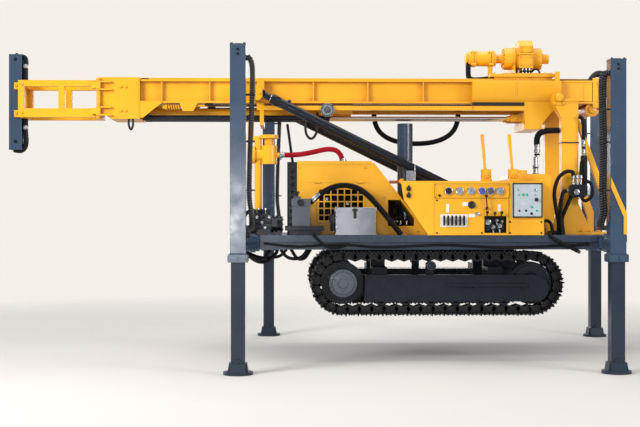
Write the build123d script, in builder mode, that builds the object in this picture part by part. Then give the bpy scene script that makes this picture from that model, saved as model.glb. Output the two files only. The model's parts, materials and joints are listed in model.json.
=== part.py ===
"""Crawler water well drilling rig, standing on its four jack legs with the mast laid down.

Millimetres, +Z up, +X towards the drilling end, -Y towards the operator's side.
Stations are measured along X from the mast pivot, and heights from the floor.
The origin is on the floor, under the middle of the rig's overall box.
"""

import math
import os

from build123d import *

os.makedirs("parts", exist_ok=True)

# Clearances and common plates
running_gap = 0.5
seat_gap = 0.3
moving_gap = 6.0
plate = 12.0
panel = 20.0

# Main heights
pivot_z = 2570.0
deck_z = 1207.0
deck_plate = 6.0
deck_top = deck_z + deck_plate

# Chassis
deck_left, deck_right = -3110.0, 560.0
chassis_depth = 132.0
rail_out = 900.0
rail_width = 80.0
rail_step = 20.0
rail_cap = 60.0
inner_rail = 300.0
well_left = -110.0
chassis_bottom = deck_z - chassis_depth
cross_stations = [deck_left, -2300.0, -1560.0, -760.0, well_left - rail_width]

# Jack legs: a swing arm hinged at each chassis corner, a square housing and a square ram
front_hinge, rear_hinge = -3020.0, 340.0
arm_length = 780.0
arm_width = 100.0
arm_depth = 100.0
arm_z = chassis_bottom + chassis_depth / 2
hinge_out = 970.0
hinge_pin_r = 25.0
hinge_eye_r = 62.0
lug_thick = 20.0
housing_side = 140.0
housing_wall = 8.0
housing_bottom = 990.0
front_top, rear_top = 2912.0, 2790.0
collar_side = 172.0
collar_height = 70.0
cap_side = 144.0
cap_height = 16.0
ram_side = housing_side - 2 * housing_wall - 2 * running_gap
ram_length = 1760.0
foot_radius = 132.0
foot_plate = 26.0
foot_socket = 184.0
foot_socket_height = 76.0
foot_socket_corner = 24.0
socket_slope = 80.0
hose_r = 30.0
hose_drop = 120.0
hose_run = 190.0
hose_landing = 0.5

# Each leg: corner, station of its hinge, side, degrees swung from straight out towards +X,
# and the side of the housing that its hoses run on
legs = [
    ("front_near", front_hinge, -1, -8.0, 1),
    ("front_far", front_hinge, 1, 8.0, 1),
    ("rear_near", rear_hinge, -1, -8.0, -1),
    ("rear_far", rear_hinge, 1, 42.0, -1),
]
rear_far_swing = legs[3][3]

# Mast: a beam of two flanges and two webs, with ribs between the flanges
mast_front, mast_rear = -4575.0, 506.0
mast_width = 480.0
half_mast = mast_width / 2
mast_bottom = pivot_z - 40.0
mast_top = mast_bottom + 235.0
flange = 18.0
web = 12.0
web_inset = 60.0
rib_stations = [-3960.0, -3480.0, -2960.0, -2440.0, -1890.0, -1330.0, 180.0]
guide_bar = 20.0
guide_spread = 200.0
mast_stroke = 850.0
tip_length = 940.0

# The origin lies midway between the mast tip and the rearmost foot
left_reach = -mast_front + tip_length
right_reach = rear_hinge + arm_length * math.sin(math.radians(rear_far_swing)) + foot_radius
pivot_x = (left_reach - right_reach) / 2

# Cradle that carries the mast on the pivot
cradle_left, cradle_right = -837.0, 60.0
cradle_in = half_mast + 10.0
cradle_out = cradle_in + 25.0
guide_left = -3000.0
guide_low, guide_high = 2455.0, 2500.0
guide_out = cradle_in + 40.0
tie_low, tie_high = 2305.0, 2345.0
tie_x = (guide_left + 30.0, guide_left + 70.0)
keel_low, keel_high = 2267.0, 2320.0
keel_left, keel_right = -310.0, -130.0
pivot_pin_r = 30.0
pivot_boss_r = 52.0
mast_hose_r = 26.0
mast_hose_y = cradle_in - mast_hose_r
mast_hose_ends = (-1790.0, -910.0)

# Mast slide cylinders, a pair under the mast
slide_spread = 110.0
slide_z = 2390.0
slide_barrel_r = 26.0
slide_rod_r = 17.0
slide_barrel_left, slide_barrel_right = -4150.0, -2265.0
slide_head = 60.0
slide_rod_left = slide_barrel_left + slide_head + mast_stroke + panel
slide_rod_right = keel_left
slide_bar = 60.0

# Mast lift cylinders
lift_spread = 430.0
lift_base_x, lift_base_z = -760.0, 1530.0
lift_eye_x, lift_eye_z = -2950.0, 2605.0
lift_barrel_r = 46.0
lift_rod_r = 30.0
lift_barrel_end = 104.0
lift_eye_r = 44.0
lift_eye_half = 30.0
lift_eye_boss = 25.0
lift_pin_gap = 5.0

# Mast posts and rear braces
post_spread = 400.0
post_width = 120.0
post_in, post_out = post_spread - post_width / 2, post_spread + post_width / 2
post_left, post_right = 30.0, 195.0
post_top = 2548.0
brace_foot_x = 525.0
brace_knee_z, brace_top_z = 1410.0, 2375.0
brace_width = 60.0

# Tracks
track_centre = 770.0
shoe_width = 300.0
sprocket_x, idler_x = -2166.0, -358.0
axle_z = 753.0
belt_inner_r, belt_outer_r = 242.0, 285.0
link_inner_r = 204.0
link_width = 130.0
lug_height = 25.0
lug_width = 26.0
shoe_count = 46

# Rotary head
spindle_z = 3010.0
spindle_r = 50.0
spindle_bore_r = 36.5
spindle_bore_depth = 80.0
head_back, spindle_nose = -868.0, -10.0
carriage_left, carriage_right = -640.0, 10.0

# Hood and console
hood_left, hood_knee, hood_right = -2600.0, -1869.0, -1330.0
hood_top = 1932.0
hood_half = 620.0
console_left, console_right = -1298.0, -244.0
console_front, console_back = 920.0, 560.0
console_top = 1730.0


def at(station):
    """X in the rig's frame of a station measured from the mast pivot."""
    return pivot_x + station


def slab(x, y, z, mode=Mode.ADD):
    """A box in the active part, between two stations, two sides and two heights."""
    with Locations((at((x[0] + x[1]) / 2), (y[0] + y[1]) / 2, (z[0] + z[1]) / 2)):
        Box(x[1] - x[0], abs(y[1] - y[0]), z[1] - z[0], mode=mode)


def bar_x(x, y, z, radius, mode=Mode.ADD):
    """A round bar along X."""
    with Locations(Location((at((x[0] + x[1]) / 2), y, z), (0, 90, 0))):
        Cylinder(radius, x[1] - x[0], mode=mode)


def bar_y(x, y, z, radius, mode=Mode.ADD):
    """A round bar along Y, between two sides."""
    with Locations(Location((at(x), (y[0] + y[1]) / 2, z), (90, 0, 0))):
        Cylinder(radius, abs(y[1] - y[0]), mode=mode)


def bar_z(x, y, z, radius, mode=Mode.ADD):
    """A round bar along Z."""
    with Locations((at(x), y, (z[0] + z[1]) / 2)):
        Cylinder(radius, z[1] - z[0], mode=mode)


def side_plate(points, y, mode=Mode.ADD):
    """An upright plate from its outline of stations and heights, between two sides."""
    low, high = min(y), max(y)
    with BuildSketch(Plane.XZ.offset(-high)) as outline:
        with BuildLine():
            Polyline(*[(at(x), z) for x, z in points], close=True)
        make_face()
    extrude(outline.sketch, amount=high - low, mode=mode)


def hose(points, radii, radius):
    """A round hose along straight runs joined by arcs, its points in the rig's frame."""
    with BuildLine() as route:
        FilletPolyline(*points, radius=radii)
    with BuildSketch(Plane(origin=points[0], z_dir=route.line % 0)) as section:
        Circle(radius)
    sweep(section.sketch, path=route.line)


def sides(side, near, far):
    """Two distances from the middle plane, on one side of the rig."""
    return (side * near, side * far)


def save(part, name):
    part.label = name
    export_step(part, f"parts/{name}.step")


# Chassis: stepped outer rails, inner rails and cross members, open at the rear for the mast
with BuildPart() as chassis:
    for side in (-1, 1):
        slab((deck_left, deck_right), sides(side, rail_out - rail_width, rail_out), (deck_z - rail_cap, deck_z))
        slab((deck_left, deck_right), sides(side, rail_out - rail_width, rail_out - rail_step), (chassis_bottom, deck_z))
        slab((deck_left, deck_right), sides(side, inner_rail, inner_rail + rail_width), (chassis_bottom, deck_z))
        slab((deck_right - rail_width, deck_right), sides(side, inner_rail, rail_out - rail_step), (chassis_bottom, deck_z))
    for station in cross_stations:
        slab((station, station + rail_width), (-rail_out + rail_step, rail_out - rail_step), (chassis_bottom, deck_z))
save(chassis.part, "chassis_frame")

with BuildPart() as deck:
    slab((deck_left, deck_right), (-rail_out, rail_out), (deck_z, deck_top))
    slab((well_left, deck_right), (-inner_rail, inner_rail), (deck_z, deck_top), mode=Mode.SUBTRACT)
save(deck.part, "deck_plate")

# Leg hinges: two lugs and an upright pin at each corner
lug_levels = [arm_z + arm_depth / 2 + moving_gap, arm_z - arm_depth / 2 - moving_gap - lug_thick]
with BuildPart() as hinges:
    for name, hinge, side, swing, hose_side in legs:
        reach = (hinge - hinge_eye_r, hinge + hinge_eye_r)
        for z in lug_levels:
            slab(reach, sides(side, rail_out, hinge_out), (z, z + lug_thick))
            bar_z(hinge, side * hinge_out, (z, z + lug_thick), hinge_eye_r)
        slab(reach, sides(side, rail_out - rail_step, rail_out), (lug_levels[1], deck_z - rail_cap))
        bar_z(hinge, side * hinge_out, (lug_levels[1] - plate, lug_levels[0] + lug_thick + plate), hinge_pin_r)
save(hinges.part, "leg_hinges")

# Jack legs
arm_start, arm_end = hinge_eye_r / 2, arm_length - housing_side / 2
bore = housing_side - 2 * housing_wall
arm_top = arm_z + arm_depth / 2
for name, hinge, side, swing, hose_side in legs:
    angle = math.radians(swing)
    housing_top = front_top if hinge == front_hinge else rear_top
    hinge_at = (at(hinge), side * hinge_out)
    leg_at = (hinge_at[0] + arm_length * math.sin(angle), hinge_at[1] + side * arm_length * math.cos(angle))
    turn = math.degrees(math.atan2(leg_at[1] - hinge_at[1], leg_at[0] - hinge_at[0]))
    with BuildPart() as housing:
        with Locations(Location((*hinge_at, arm_z), (0, 0, turn))):
            Cylinder(hinge_eye_r, arm_depth)
            with Locations(((arm_start + arm_end) / 2, 0, 0)):
                Box(arm_end - arm_start, arm_width, arm_depth)
            Cylinder(hinge_pin_r + running_gap, arm_depth, mode=Mode.SUBTRACT)
        with Locations((*leg_at, (housing_bottom + housing_top) / 2)):
            Box(housing_side, housing_side, housing_top - housing_bottom)
        with Locations((*leg_at, housing_bottom + collar_height / 2)):
            Box(collar_side, collar_side, collar_height)
        with Locations((*leg_at, housing_top - cap_height / 2)):
            Box(cap_side, cap_side, cap_height)
        with Locations((*leg_at, (housing_bottom + housing_top) / 2 - cap_height)):
            Box(bore, bore, housing_top - housing_bottom, mode=Mode.SUBTRACT)
    save(housing.part, f"leg_housing_{name}")
    with BuildPart() as ram:
        with Locations((*leg_at, foot_plate / 2)):
            Cylinder(foot_radius, foot_plate)
        with Locations((*leg_at, foot_plate + ram_length / 2)):
            Box(ram_side, ram_side, ram_length)
        for along, across in (((1, 0, 0), (0, -1, 0)), ((0, 1, 0), (1, 0, 0))):
            with BuildSketch(Plane(origin=(*leg_at, foot_plate), x_dir=along, z_dir=across)) as socket:
                Trapezoid(foot_socket, foot_socket_height, socket_slope, align=(Align.CENTER, Align.MIN))
            extrude(socket.sketch, amount=foot_socket / 2 - foot_socket_corner, both=True)
    save(ram.part, f"leg_ram_{name}")
    beside = leg_at[0] + hose_side * (housing_side / 2 + hose_r + plate)
    arm_point = [leg + hose_landing * (pin - leg) for leg, pin in zip(leg_at, hinge_at)]
    with BuildPart() as leg_hose:
        hose(
            [
                (leg_at[0] + hose_side * housing_side / 2, leg_at[1], housing_top - hose_drop),
                (beside, leg_at[1], housing_top - hose_drop),
                (beside, leg_at[1], arm_top + hose_drop),
                (beside, leg_at[1] - side * hose_run, arm_top + hose_drop),
                (*arm_point, arm_top + hose_drop),
                (*arm_point, arm_top),
            ],
            [hose_r + 10, 2 * hose_r, hose_r + 10, 2 * hose_r],
            hose_r,
        )
    save(leg_hose.part, f"leg_hose_{name}")

# Mast posts with the pivot boss, its stub pin, a foot plate, a gusset and the rear brace
half_brace = brace_width / 2
with BuildPart() as posts:
    for side in (-1, 1):
        across = sides(side, post_in, post_out)
        slab((post_left, post_right), across, (deck_top, post_top))
        slab((post_left - 40, post_right + 40), sides(side, post_in, post_out + plate), (post_top - plate, post_top + plate))
        slab((post_left - 110, brace_foot_x + half_brace), across, (deck_top, deck_top + 2 * plate))
        side_plate(
            [(post_left - 100, deck_top), (post_right + 160, deck_top), (post_right, deck_top + 330), (post_left - 20, deck_top + 330)],
            sides(side, post_spread - plate, post_spread + plate),
        )
        side_plate(
            [
                (post_right, post_top),
                (-pivot_boss_r, pivot_z),
                (-pivot_boss_r, pivot_z - pivot_boss_r),
                (post_left, pivot_z - 4 * pivot_boss_r),
                (post_right, pivot_z - 4 * pivot_boss_r),
            ],
            across,
        )
        bar_y(0, across, pivot_z, pivot_boss_r)
        bar_y(0, sides(side, cradle_in, post_out + 2 * plate), pivot_z, pivot_pin_r)
        side_plate(
            [
                (brace_foot_x - half_brace, deck_top),
                (brace_foot_x + half_brace, deck_top),
                (brace_foot_x + half_brace, brace_knee_z + half_brace),
                (post_right, brace_top_z + half_brace),
                (post_right, brace_top_z - brace_width),
                (brace_foot_x - half_brace, brace_knee_z - half_brace),
            ],
            sides(side, post_spread - half_brace, post_spread + half_brace),
        )
save(posts.part, "mast_posts")


# Tracks: one loop each, with a cross bar on every shoe
def loop_point(distance, radius):
    """A point of the stadium loop: its distance along the belt's face, and its radius from the axles."""
    run = idler_x - sprocket_x
    arc = math.pi * belt_outer_r
    distance = distance % (2 * run + 2 * arc)
    if distance < run:
        return (sprocket_x + distance, axle_z + radius)
    if distance < run + arc:
        turn = math.pi / 2 - (distance - run) / belt_outer_r
        return (idler_x + radius * math.cos(turn), axle_z + radius * math.sin(turn))
    if distance < 2 * run + arc:
        return (idler_x - (distance - run - arc), axle_z - radius)
    turn = -math.pi / 2 - (distance - 2 * run - arc) / belt_outer_r
    return (sprocket_x + radius * math.cos(turn), axle_z + radius * math.sin(turn))


belt_length = 2 * (idler_x - sprocket_x) + 2 * math.pi * belt_outer_r
pitch = belt_length / shoe_count
chord_stretch = 1 / math.cos(pitch / 2 / belt_outer_r)
track_outline = []
for shoe in range(shoe_count):
    start = shoe * pitch
    track_outline += [
        loop_point(start, belt_outer_r),
        loop_point(start, belt_outer_r + lug_height),
        loop_point(start + lug_width, belt_outer_r + lug_height),
        loop_point(start + lug_width, belt_outer_r),
    ]


def ring(radius):
    """The loop's outline at a radius, with one corner to each shoe."""
    return [loop_point(shoe * pitch, radius) for shoe in range(shoe_count)]


for name, side in (("near", -1), ("far", 1)):
    shoe_sides = sides(side, track_centre - shoe_width / 2, track_centre + shoe_width / 2)
    link_sides = sides(side, track_centre - link_width / 2, track_centre + link_width / 2)
    with BuildPart() as track:
        side_plate(track_outline, shoe_sides)
        side_plate(ring(belt_inner_r), shoe_sides, mode=Mode.SUBTRACT)
        side_plate(ring(belt_inner_r + panel), link_sides)
        side_plate(ring(link_inner_r * chord_stretch), link_sides, mode=Mode.SUBTRACT)
    save(track.part, f"track_{name}")

# Track frames: a box between the wheels, side plates out to the axles and arms up to the chassis
frame_left, frame_right = -1944.0, -600.0
frame_low, frame_high = 577.0, 828.0
frame_half = 110.0
frame_plate = 25.0
axle_r = 40.0
wheel_half = 55.0
sprocket_half = 20.0
wheel_r = link_inner_r - seat_gap
hub_r = 135.0
frame_in, frame_out = track_centre - frame_half, track_centre + frame_half
frame_mid = (frame_low + frame_high) / 2
frame_end_r = (frame_high - frame_low) / 2
cross_arms = [-1795.0, -672.0]
arm_half = 70.0
carrier_x, carrier_r = -1312.0, 40.0
carrier_z = axle_z + link_inner_r * chord_stretch - carrier_r - seat_gap
for name, side in (("near", -1), ("far", 1)):
    with BuildPart() as track_frame:
        slab((frame_left, frame_right), sides(side, frame_in, frame_out), (frame_low, frame_high))
        for y in (frame_in, frame_out - frame_plate):
            web_sides = sides(side, y, y + frame_plate)
            slab((frame_right, idler_x + axle_r), web_sides, (frame_low, frame_high))
            bar_y(idler_x + axle_r, web_sides, frame_mid, frame_end_r)
        motor_sides = sides(side, frame_in, frame_in + frame_plate)
        slab((sprocket_x, frame_left), motor_sides, (axle_z - 3 * axle_r, frame_high))
        bar_y(sprocket_x, motor_sides, axle_z, 3 * axle_r)
        slab((carrier_x - axle_r, carrier_x + axle_r), motor_sides, (frame_high, carrier_z + axle_r / 2))
        for station in cross_arms:
            reach = (station - arm_half, station + arm_half)
            slab(reach, sides(side, inner_rail, frame_in), (frame_high - arm_half, frame_high + arm_half))
            slab(reach, sides(side, inner_rail, inner_rail + rail_width), (frame_high, chassis_bottom))
    save(track_frame.part, f"track_frame_{name}")

# Track wheels: sprocket with its hub, idler with its axle, and the carrier roller
with BuildPart() as wheels:
    for side in (-1, 1):
        bar_y(sprocket_x, sides(side, track_centre - sprocket_half, track_centre + sprocket_half), axle_z, wheel_r)
        bar_y(sprocket_x, sides(side, frame_in + frame_plate, frame_out), axle_z, hub_r)
        bar_y(idler_x, sides(side, track_centre - wheel_half, track_centre + wheel_half), axle_z, wheel_r)
        bar_y(idler_x, sides(side, frame_in + frame_plate, frame_out - frame_plate), axle_z, axle_r)
        bar_y(carrier_x, sides(side, frame_in + frame_plate, track_centre + wheel_half), carrier_z, carrier_r)
save(wheels.part, "track_wheels")

# Engine and radiator
with BuildPart() as engine:
    slab((-2480, -1760), (-260, 260), (deck_top, 1700))
save(engine.part, "engine_block")
radiator_depth = 80.0
with BuildPart() as radiator:
    slab((hood_left - radiator_depth, hood_left), (-hood_half + 3 * panel, hood_half - 3 * panel), (deck_top, hood_top - panel))
save(radiator.part, "radiator")

# Hood: two sides, a flat roof and a sloping rear panel with a hole for the mast rest
grille_x, grille_z = -2171.0, 1503.0
grille_pitch, grille_cell = 66.0, 54.0
grille_columns, grille_rows = 7, 5
hatch = [(-1712.0, 1298.0), (-1458.0, 1298.0), (-1458.0, 1380.0), (-1560.0, 1552.0), (-1712.0, 1552.0)]
hood_outline = [(hood_left, deck_top), (hood_right, deck_top), (hood_knee, hood_top - panel), (hood_left, hood_top - panel)]
rest_x, rest_r = -1487.0, 80.0
slope_angle = math.atan2(hood_top - panel - deck_top, hood_right - hood_knee)
slope_thick = panel / math.sin(slope_angle)
with BuildPart() as hood_near:
    side_plate(hood_outline, sides(-1, hood_half - panel, hood_half))
    side_plate(hatch, sides(-1, hood_half - panel, hood_half), mode=Mode.SUBTRACT)
    with BuildSketch(Plane(origin=(at(grille_x), -hood_half, grille_z), x_dir=(1, 0, 0), z_dir=(0, -1, 0))) as cells:
        with GridLocations(grille_pitch, grille_pitch, grille_columns, grille_rows):
            Rectangle(grille_cell, grille_cell)
    extrude(cells.sketch, amount=-panel, mode=Mode.SUBTRACT)
save(hood_near.part, "hood_side_near")
with BuildPart() as hood_far:
    side_plate(hood_outline, sides(1, hood_half - panel, hood_half))
save(hood_far.part, "hood_side_far")
with BuildPart() as roof:
    slab((hood_left, hood_knee), (-hood_half, hood_half), (hood_top - panel, hood_top))
save(roof.part, "hood_roof")
with BuildPart() as slope:
    side_plate(
        [
            (hood_knee, hood_top - panel),
            (hood_right, deck_top),
            (hood_right + slope_thick, deck_top),
            (hood_knee + slope_thick, hood_top - panel),
        ],
        (-hood_half, hood_half),
    )
    bar_z(rest_x, 0, (deck_top, hood_top), rest_r + panel, mode=Mode.SUBTRACT)
save(slope.part, "hood_slope")
with BuildPart() as rest_post:
    bar_z(rest_x, 0, (deck_top, 2340), rest_r)
save(rest_post.part, "mast_rest")

# Console: a folded sheet with a wing at its left, lever slots and a valve window
slot_first, slot_pitch, slot_count = -1201.0, 38.0, 6
slot_width, slot_height, slot_z = 18.0, 95.0, 1352.0
window_x, window_z = (-819.0, -604.0), (1234.0, 1396.0)
wing = [(console_left, deck_top), (-1348.0, deck_top), (-1584.0, 1549.0), (-1613.0, console_top), (console_left, console_top)]
console_sheet = panel
with BuildPart() as console:
    slab((console_left, console_right), (-console_front, -console_back), (deck_top, console_top))
    slab(
        (console_left + console_sheet, console_right - console_sheet),
        (-console_front + console_sheet, -console_back),
        (deck_top, console_top - console_sheet),
        mode=Mode.SUBTRACT,
    )
    side_plate(wing, (-console_front, -console_front + console_sheet))
    for index in range(slot_count):
        slot_x = slot_first + index * slot_pitch
        slab(
            (slot_x - slot_width / 2, slot_x + slot_width / 2),
            (-console_front, -console_front + console_sheet),
            (slot_z - slot_height / 2, slot_z + slot_height / 2),
            mode=Mode.SUBTRACT,
        )
    slab(window_x, (-console_front, -console_front + console_sheet), window_z, mode=Mode.SUBTRACT)
save(console.part, "console")

# Gauges, from a table of stations and radii
gauge_z = 1634.0
gauges = [(-1160.0, 35.0), (-1054.0, 35.0), (-946.0, 35.0), (-842.0, 34.0), (-758.0, 32.0), (-668.0, 36.0)]
strip_x, strip_z = (-1290.0, -580.0), (1568.0, 1701.0)
strip_thick, bezel = 6.0, 16.0
with BuildPart() as gauge_plate:
    slab(strip_x, (-console_front - strip_thick, -console_front), strip_z)
    for station, radius in gauges:
        bar_y(station, (-console_front - strip_thick - bezel, -console_front - strip_thick), gauge_z, radius)
save(gauge_plate.part, "gauge_plate")
box_x, box_z = (-551.0, -263.0), (1381.0, 1711.0)
with BuildPart() as electric_box:
    slab(box_x, (-console_front - 2 * plate, -console_front), box_z)
save(electric_box.part, "electric_box")

# Black controls: the slots' levers and the valve block behind the window
lever_out = 34.0
with BuildPart() as controls:
    slab((slot_first - 40, slot_first + slot_pitch * (slot_count - 1) + 40), (-console_front + console_sheet, -console_front + 90), (slot_z - 70, slot_z + 70))
    for index in range(slot_count):
        slot_x = slot_first + index * slot_pitch
        slab((slot_x - 5, slot_x + 5), (-console_front - lever_out, -console_front + console_sheet), (slot_z - 8, slot_z + 8))
        slab((slot_x - 7, slot_x + 7), (-console_front - lever_out, -console_front - lever_out + 14), (slot_z - 42, slot_z + 42))
    slab((window_x[0] - 10, window_x[1] + 10), (-console_front + 70, -console_front + 150), (window_z[0] - 5, window_z[1] + 10))
    for station in (-780.0, -712.0, -644.0):
        bar_y(station, (-console_front + console_sheet, -console_front + 70), 1290, 24)
    slab((window_x[0] - 10, window_x[1] + 10), (-console_front + 70, -console_back), (deck_top, window_z[0] - 5))
    slab((slot_first - 40, slot_first + slot_pitch * (slot_count - 1) + 40), (-console_front + 60, -console_back), (deck_top, slot_z - 70))
save(controls.part, "console_controls")

# Two tall hand levers in clevis brackets on the console's top
lever_y = -700.0
lever_height = 460.0
lever_lean = -40.0
with BuildPart() as hand_levers:
    for station in (-765.0, -501.0):
        for y in (lever_y - 42, lever_y + 30):
            slab((station - 45, station + 45), (y, y + plate), (console_top, console_top + 120))
        slab((station - 50, station + 50), (lever_y - 50, lever_y + 50), (console_top, console_top + 2 * plate))
        bar_y(station, (lever_y - 42, lever_y + 42), console_top + 75, 14)
        side_plate(
            [
                (station - 24, console_top + 40),
                (station + 24, console_top + 40),
                (station + 20 + lever_lean / 2, console_top + 140),
                (station + 16 + lever_lean, console_top + lever_height),
                (station - 16 + lever_lean, console_top + lever_height),
                (station - 22, console_top + 140),
            ],
            (lever_y - 16, lever_y + 16),
        )
save(hand_levers.part, "hand_levers")

# Oil tank behind the console, toolbox, lubricator on its shelf, valve bank and air valve
tank_x, tank_half, tank_top = (-430.0, -190.0), 540.0, 1810.0
tank_end, tank_step = -90.0, -280.0
with BuildPart() as tank:
    slab(tank_x, (-tank_half, tank_half), (deck_top, tank_top))
    slab((tank_x[1], tank_end), (-tank_half, tank_step), (deck_top, tank_top))
    fillet(tank.edges().filter_by(Axis.Y).group_by(Axis.Z)[-1], radius=40)
    bar_z(-355, -tank_half + 120, (tank_top, tank_top + 40), 45)
save(tank.part, "oil_tank")
with BuildPart() as toolbox:
    slab((-2240, -1848), (-890, -660), (deck_top, 1472))
    fillet(toolbox.edges().filter_by(Axis.Z), radius=12)
save(toolbox.part, "toolbox")
shelf_x, shelf_y = (-2715.0, -2350.0), (-900.0, -660.0)
shelf_top = 1300.0
lubricator_x, lubricator_y = (-2650.0, -2478.0), (-860.0, -700.0)
lubricator_top = 1559.0
arch_y = (lubricator_y[0] + lubricator_y[1]) / 2
with BuildPart() as lubricator:
    slab(shelf_x, shelf_y, (shelf_top - 40, shelf_top))
    slab((shelf_x[0] + 40, shelf_x[1] - 40), (shelf_y[0] + 20, shelf_y[1] - 20), (deck_top, shelf_top - 40))
    slab(lubricator_x, lubricator_y, (shelf_top, lubricator_top))
    bar_z(-2600, arch_y, (lubricator_top, lubricator_top + 24), 34)
save(lubricator.part, "lubricator")
bank_x, bank_y, bank_z = (-3040.0, -2850.0), (-840.0, -500.0), (1260.0, 1410.0)
motor_right = -2740.0
with BuildPart() as valve_bank:
    slab(bank_x, bank_y, bank_z)
    slab((bank_x[0] + 20, bank_x[1] - 20), (bank_y[0] + 40, bank_y[1] - 40), (deck_top, bank_z[0]))
    for index in range(4):
        bar_z(bank_x[0] + 35 + 40 * index, bank_y[0] + 50, (bank_z[1], bank_z[1] + 50), 15)
    bar_x((bank_x[1], motor_right), -740, 1315, 78)
    slab((bank_x[1] + 20, motor_right - 10), (-790, -690), (deck_top, bank_z[0]))
save(valve_bank.part, "valve_bank")
air_y = -560.0
pipe_x, pipe_r = -2980.0, 36.0
valve_x, valve_r = -2874.0, 78.0
air_z = 1993.0
with BuildPart() as air_valve:
    bar_z(pipe_x, air_y, (bank_z[1], 2170), pipe_r)
    bar_x((pipe_x - 100, pipe_x - 30), air_y, air_z, 84)
    bar_x((pipe_x - 60, valve_x), air_y, air_z, 60)
    bar_z(valve_x, air_y, (air_z - 90, air_z + 90), valve_r)
    bar_z(valve_x, air_y, (air_z + 90, air_z + 160), 45)
    bar_z(valve_x, air_y, (air_z + 160, air_z + 195), 90)
    bar_x((valve_x, -2766), air_y, air_z, 24)
    bar_x((pipe_x - 80, pipe_x), air_y, 2150, 28)
    bar_z(pipe_x - 70, air_y, (2150, 2320), 30)
save(air_valve.part, "air_valve")

# Hoses that are held between fittings
red_hose_r = 25.0
red_route = [
    (-2766.0, air_z),
    (-2560.0, air_z),
    (-2420.0, 2066.0),
    (-2240.0, 2066.0),
    (-2149.0, 1990.0),
    (-2149.0, hood_top),
]
red_radii = [150.0, 150.0, 110.0, 80.0]
with BuildPart() as red_hose:
    hose([(at(x), air_y, z) for x, z in red_route], red_radii, red_hose_r)
save(red_hose.part, "red_hose")
arch_hose_r = 28.0
arch_route = [
    (-2510.0, lubricator_top),
    (-2510.0, 1640.0),
    (-2330.0, 1722.0),
    (-1985.0, 1722.0),
    (-1765.0, 1450.0),
    (-1590.0, 1310.0),
    (-1590.0, deck_top),
]
arch_radii = [70.0, 250.0, 250.0, 300.0, 90.0]
with BuildPart() as arch_hose:
    hose([(at(x), arch_y, z) for x, z in arch_route], arch_radii, arch_hose_r)
save(arch_hose.part, "arch_hose")

# Lift cylinder base brackets, with their pins
bracket_in = lift_spread - lift_barrel_r - moving_gap - 2 * plate
bracket_out = lift_spread + lift_barrel_r + moving_gap
with BuildPart() as lift_brackets:
    for side in (-1, 1):
        for y in (bracket_in, bracket_out):
            side_plate(
                [
                    (lift_base_x - 160, deck_top),
                    (lift_base_x + 160, deck_top),
                    (lift_base_x + 60, lift_base_z + 60),
                    (lift_base_x - 60, lift_base_z + 60),
                ],
                sides(side, y, y + 2 * plate),
            )
        bar_y(lift_base_x, sides(side, bracket_in, bracket_out + 2 * plate), lift_base_z, pivot_pin_r)
save(lift_brackets.part, "lift_brackets")

# Cradle: side plates and keel round the mast, long rails under it and the lift lugs at their front
lug_end = lift_spread - lift_eye_half - lift_eye_boss - lift_pin_gap
lug_x = (guide_left, guide_left + 75.0)
with BuildPart() as cradle:
    for side in (-1, 1):
        slab((cradle_left, cradle_right), sides(side, cradle_in, cradle_out), (guide_low, mast_top - plate))
        slab((guide_left, cradle_left), sides(side, cradle_in, guide_out), (guide_low, guide_high))
        slab(lug_x, sides(side, cradle_in, guide_out), (guide_low, mast_top - plate))
        slab(tie_x, sides(side, cradle_in, guide_out), (tie_low, guide_low))
        bar_y(lift_eye_x, sides(side, guide_out, lug_end), lift_eye_z, lift_eye_r)
        bar_y(0, sides(side, cradle_out, post_in - moving_gap), pivot_z, pivot_boss_r)
        bar_y(0, sides(side, cradle_in, post_spread), pivot_z, pivot_pin_r + running_gap, mode=Mode.SUBTRACT)
        side_plate(
            [(keel_left, guide_low), (cradle_right - 80, guide_low), (keel_right, keel_high), (keel_left + 10, keel_high)],
            sides(side, cradle_in, cradle_out),
        )
    slab((keel_left, keel_right), (-cradle_out, cradle_out), (keel_low, keel_high))
    slab((keel_left, keel_left + slide_bar), (-cradle_in, cradle_in), (keel_high, guide_low))
    slab(tie_x, (-guide_out, guide_out), (tie_low, tie_high))
    for station in mast_hose_ends:
        slab((station - 35, station + 35), (mast_hose_y - mast_hose_r, cradle_in), (guide_low, guide_low + panel))
save(cradle.part, "cradle")
with BuildPart() as slide_rods:
    for side in (-1, 1):
        bar_x((slide_rod_left, slide_rod_right), side * slide_spread, slide_z, slide_rod_r)
save(slide_rods.part, "slide_rods")

# Mast beam with its foot block, drum and guide bars
foot_left = 394.0
foot_low, foot_high = 2487.0, 2790.0
drum_x, drum_z, drum_r = 395.0, 2472.0, 58.0
with BuildPart() as mast:
    for z in (mast_bottom, mast_top - flange):
        slab((mast_front, mast_rear), (-half_mast, half_mast), (z, z + flange))
    for side in (-1, 1):
        slab((mast_front, mast_rear), sides(side, half_mast - web_inset - web, half_mast - web_inset), (mast_bottom, mast_top))
        slab((mast_front, mast_rear), sides(side, guide_spread - guide_bar, guide_spread), (mast_top, mast_top + guide_bar))
        for station in rib_stations:
            slab((station, station + web), sides(side, half_mast - web_inset, half_mast - plate), (mast_bottom, mast_top))
    slab((foot_left, mast_rear), (-half_mast, half_mast), (foot_low, foot_high))
    bar_y(drum_x, (-half_mast + 40, half_mast - 40), drum_z, drum_r)
save(mast.part, "mast_beam")

# Feed cylinder, chain and sprocket under the mast
feed_z, feed_r = 2446.0, 44.0
feed_x = (-4150.0, -2160.0)
chain_x = (-3520.0, -240.0)
chain_y, chain_half = 205.0, 11.0
chain_z = (2500.0, 2522.0)
wheel_x, wheel_z, chain_wheel_r = -2295.0, 2455.0, 68.0
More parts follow.
